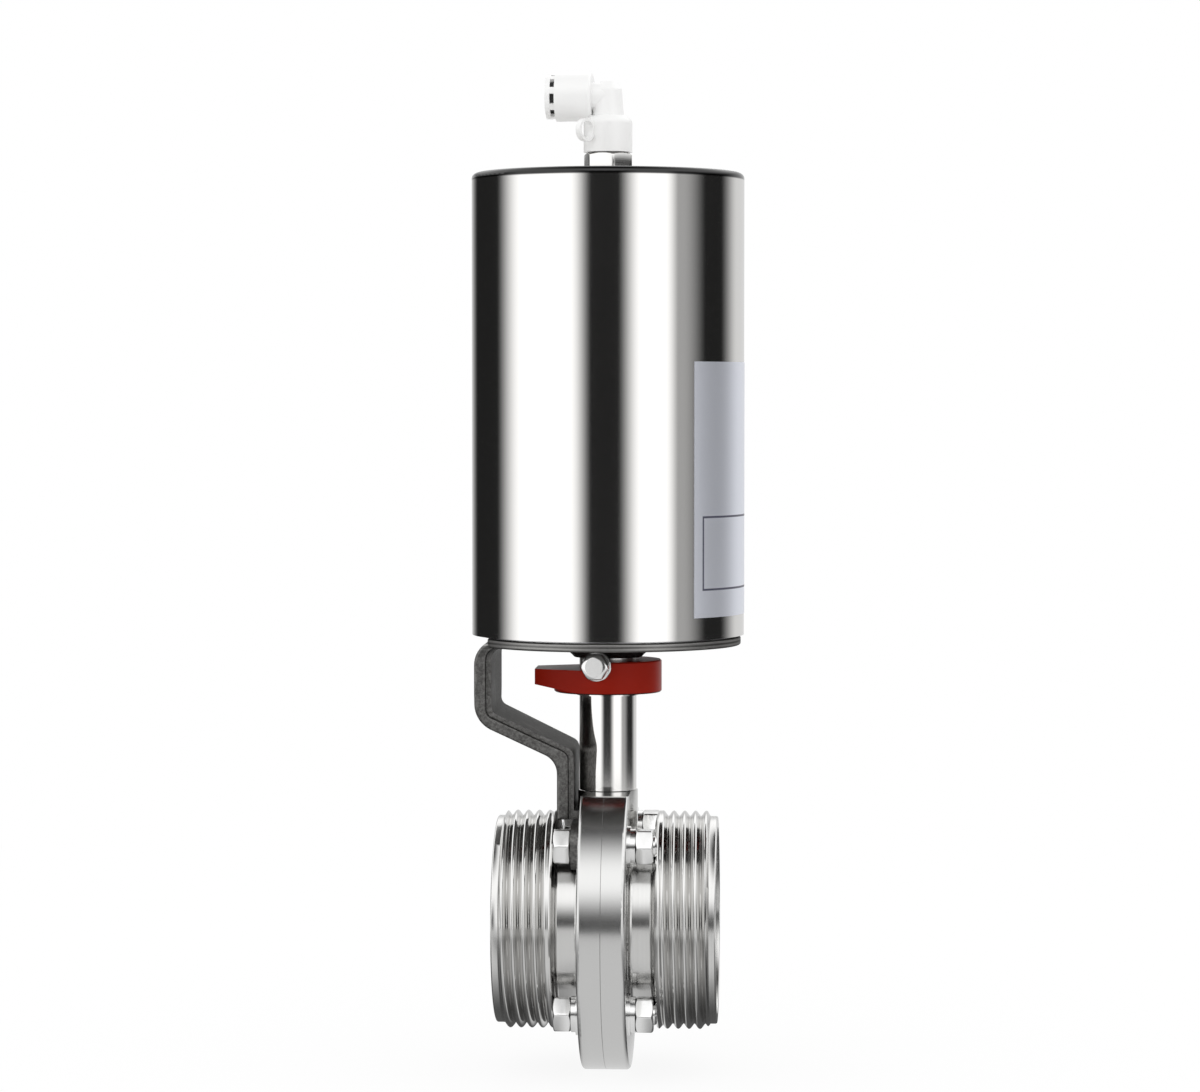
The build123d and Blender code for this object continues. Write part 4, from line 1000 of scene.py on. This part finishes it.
def on_four_places(growth, part):
    """One copy at each bolt of the square, each turned a little by chance."""
    square = growth.add(
        "GeometryNodeMeshGrid",
        sockets={
            "Size X": growth.size("Spacing"),
            "Size Y": growth.size("Spacing"),
            "Vertices X": 2,
            "Vertices Y": 2,
        },
    )
    chance = growth.add(
        "FunctionNodeRandomValue", {"data_type": "FLOAT"}, {"Seed": growth.size("Seed")}
    )
    plug(growth.tree, growth.size("Least_turn"), chance.inputs[2])
    plug(growth.tree, growth.size("Most_turn"), chance.inputs[3])
    turn = growth.point(0.0, 0.0, growth.wire(chance, 1))
    copies = growth.add(
        "GeometryNodeInstanceOnPoints",
        sockets={"Points": square.outputs[0], "Instance": part, "Rotation": turn},
    )
    return copies.outputs[0]


def seated(mesh, origin, outward, upward):
    """Moves a mesh built about Z so that it points outward from an origin in millimetres."""
    across = outward.cross(upward)
    turn = Matrix((upward, across, outward)).transposed().to_4x4()
    builder = reopened(mesh)
    place = Matrix.Translation(origin * MM) @ turn
    bmesh.ops.transform(builder, matrix=place, verts=builder.verts)
    return plain_mesh(builder)


ALONG = Vector((1, 0, 0))
UP = Vector((0, 0, 1))
BOLT_FACE = 12.3
BOLT_HEAD = 6.9
BOLT_RADIUS = 4.0
BOLT_POINT = 0.7
# The bolt's end stands this far out of its nut
BOLT_END = 1.3
BOLT_FACETS = 32
NUT_HEIGHT = 6.9

# Both the bolt heads and the nuts
HEXAGON_SIZES = {
    "Flats": 13.0 * MM,
    "Cut": 0.98,
    "Edge": 0.35 * MM,
    "Sharpness": 42.0,
    "Spacing": 64.6 * MM,
}


def bolts():
    """Four bolts whose heads stand on z = 0 and whose shanks hang below it."""
    growth = Growth(
        "bolt",
        **HEXAGON_SIZES,
        Height=BOLT_HEAD * MM,
        Least_turn=-0.1,
        Most_turn=0.12,
        Seed=3,
        Shank=(2 * BOLT_FACE + NUT_HEIGHT + BOLT_END) * MM,
        Shank_radius=BOLT_RADIUS * MM,
        Point=BOLT_POINT * MM,
    )
    size = growth.size
    straight = size("Shank") - size("Point")
    shank = growth.add(
        "GeometryNodeMeshCylinder",
        sockets={"Vertices": BOLT_FACETS, "Radius": size("Shank_radius"), "Depth": straight},
    )
    point = growth.add(
        "GeometryNodeMeshCone",
        sockets={
            "Vertices": BOLT_FACETS,
            "Radius Top": size("Shank_radius"),
            "Radius Bottom": size("Shank_radius") - size("Point"),
            "Depth": size("Point"),
        },
    )
    whole = growth.joined(
        hexagon(growth),
        growth.lifted(shank.outputs[0], straight * -0.5),
        growth.lifted(point.outputs[0], size("Shank") * -1.0),
    )
    return growth.mesh(on_four_places(growth, whole), finishes["zinc"])


def nuts():
    """Four nuts that stand on z = 0."""
    growth = Growth(
        "nut",
        **HEXAGON_SIZES,
        Height=NUT_HEIGHT * MM,
        Least_turn=-0.08,
        Most_turn=0.1,
        Seed=8,
    )
    return growth.mesh(on_four_places(growth, hexagon(growth)), finishes["zinc"])


bolt_mesh = seated(bolts(), ALONG * -BOLT_FACE, ALONG * -1, UP)
set_piece("four_bolts", bolt_mesh, "zinc", "valve", "flange_bolts")
nut_mesh = seated(nuts(), ALONG * BOLT_FACE, ALONG, UP)
set_piece("four_nuts", nut_mesh, "zinc", "valve", "flange_nuts")


def one_hexagon(name, finish_slot, flats, height, cut, edge, sharpness):
    """A single hexagon, for the screw and the stud."""
    growth = Growth(
        name,
        Flats=flats * MM,
        Height=height * MM,
        Cut=cut,
        Edge=edge * MM,
        Sharpness=sharpness,
    )
    return growth.mesh(hexagon(growth), finishes[finish_slot])


# Clamping screw of the red collar, by distance from the stem and by radius

SCREW_AZIMUTH = math.radians(261.0)
SCREW_HEIGHT = 100.5
SCREW_TIP = 6.0
SCREW_RADIUS = 2.5
SCREW_FLANGE = 21.3
SCREW_FLANGE_RADIUS = 5.9
SCREW_HEAD = 22.2
SCREW_FACETS = 48

screw_way = Vector((math.cos(SCREW_AZIMUTH), math.sin(SCREW_AZIMUTH), 0))
screw_origin = UP * SCREW_HEIGHT


def along_screw(distance, y, z):
    across = screw_way.cross(UP)
    return (screw_origin + screw_way * distance + UP * y + across * z) * MM


screw_head = one_hexagon(
    "screw_head", "zinc", flats=10.0, height=4.0, cut=1.0, edge=1.1, sharpness=12.0
)
screw_head = seated(screw_head, screw_origin + screw_way * SCREW_HEAD, screw_way, UP)
screw_outline = rounded(
    [
        (SCREW_TIP, 0.0),
        (SCREW_TIP, SCREW_RADIUS),
        (SCREW_FLANGE, SCREW_RADIUS),
        (SCREW_FLANGE, SCREW_FLANGE_RADIUS),
        (SCREW_HEAD, SCREW_FLANGE_RADIUS),
        (SCREW_HEAD, 0.0),
    ],
    radii=[0, 0, 0.2, 0.6],
    steps=4,
)
builder = reopened(screw_head)
lathe(builder, screw_outline, SCREW_FACETS, along_screw)
set_piece("collar_screw", plain_mesh(builder), "zinc", "rotor", "indicator_screw")

# Stud of the air fitting, by height and by radius

STUD_TURN = math.radians(16.0)
SHELL_TOP = 291.0
STUD_TOP = 298.9
STUD_RADIUS = 6.5
STUD_BORE = 2.5
JOURNAL_TOP = 307.9
JOURNAL_RADIUS = 5.2
JOURNAL_CHAMFER = 0.5
STUD_FACETS = 64


def along_z(distance, y, z):
    return Vector((y, z, distance)) * MM


stud_hexagon = one_hexagon(
    "stud_hexagon",
    "plated_brass",
    flats=17.0,
    height=STUD_TOP - SHELL_TOP,
    cut=0.99,
    edge=0.3,
    sharpness=60.0,
)
stud_way = Vector((math.cos(STUD_TURN), math.sin(STUD_TURN), 0))
stud_hexagon = seated(stud_hexagon, UP * SHELL_TOP, UP, stud_way)
stud_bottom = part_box("fitting_stud")[0][2] / MM
stud_outline = [
    (stud_bottom, STUD_BORE),
    (stud_bottom, STUD_RADIUS),
    (SHELL_TOP, STUD_RADIUS),
    (STUD_TOP, STUD_RADIUS),
    (STUD_TOP, JOURNAL_RADIUS),
    (JOURNAL_TOP - JOURNAL_CHAMFER, JOURNAL_RADIUS),
    (JOURNAL_TOP, JOURNAL_RADIUS - JOURNAL_CHAMFER),
    (JOURNAL_TOP, STUD_BORE),
    (stud_bottom, STUD_BORE),
]
builder = reopened(stud_hexagon)
lathe(builder, stud_outline, STUD_FACETS, along_z)
set_piece("hexagon_stud", plain_mesh(builder), "plated_brass", "valve", "fitting_stud")

# Dark band behind the ribs of the release ring, by distance from the stem and by radius. Pushed in,
# it slides into the elbow's groove with them

SOCKET_HEIGHT = 320.8
SOCKET_TURN = math.radians(4.0)
BAND_FROM = 20.15
BAND_TO = 22.0
BAND_INSIDE = 7.0
BAND_OUTSIDE = 7.15
BAND_FACETS = 64

socket_way = Vector((-math.cos(SOCKET_TURN), math.sin(SOCKET_TURN), 0))


def along_socket(distance, y, z):
    across = socket_way.cross(UP)
    return (UP * SOCKET_HEIGHT + socket_way * distance + UP * y + across * z) * MM


band_outline = [
    (BAND_FROM, BAND_INSIDE),
    (BAND_FROM, BAND_OUTSIDE),
    (BAND_TO, BAND_OUTSIDE),
    (BAND_TO, BAND_INSIDE),
    (BAND_FROM, BAND_INSIDE),
]
builder = bmesh.new()
lathe(builder, band_outline, BAND_FACETS, along_socket)
set_piece("window_band", plain_mesh(builder), "rubber", "release")
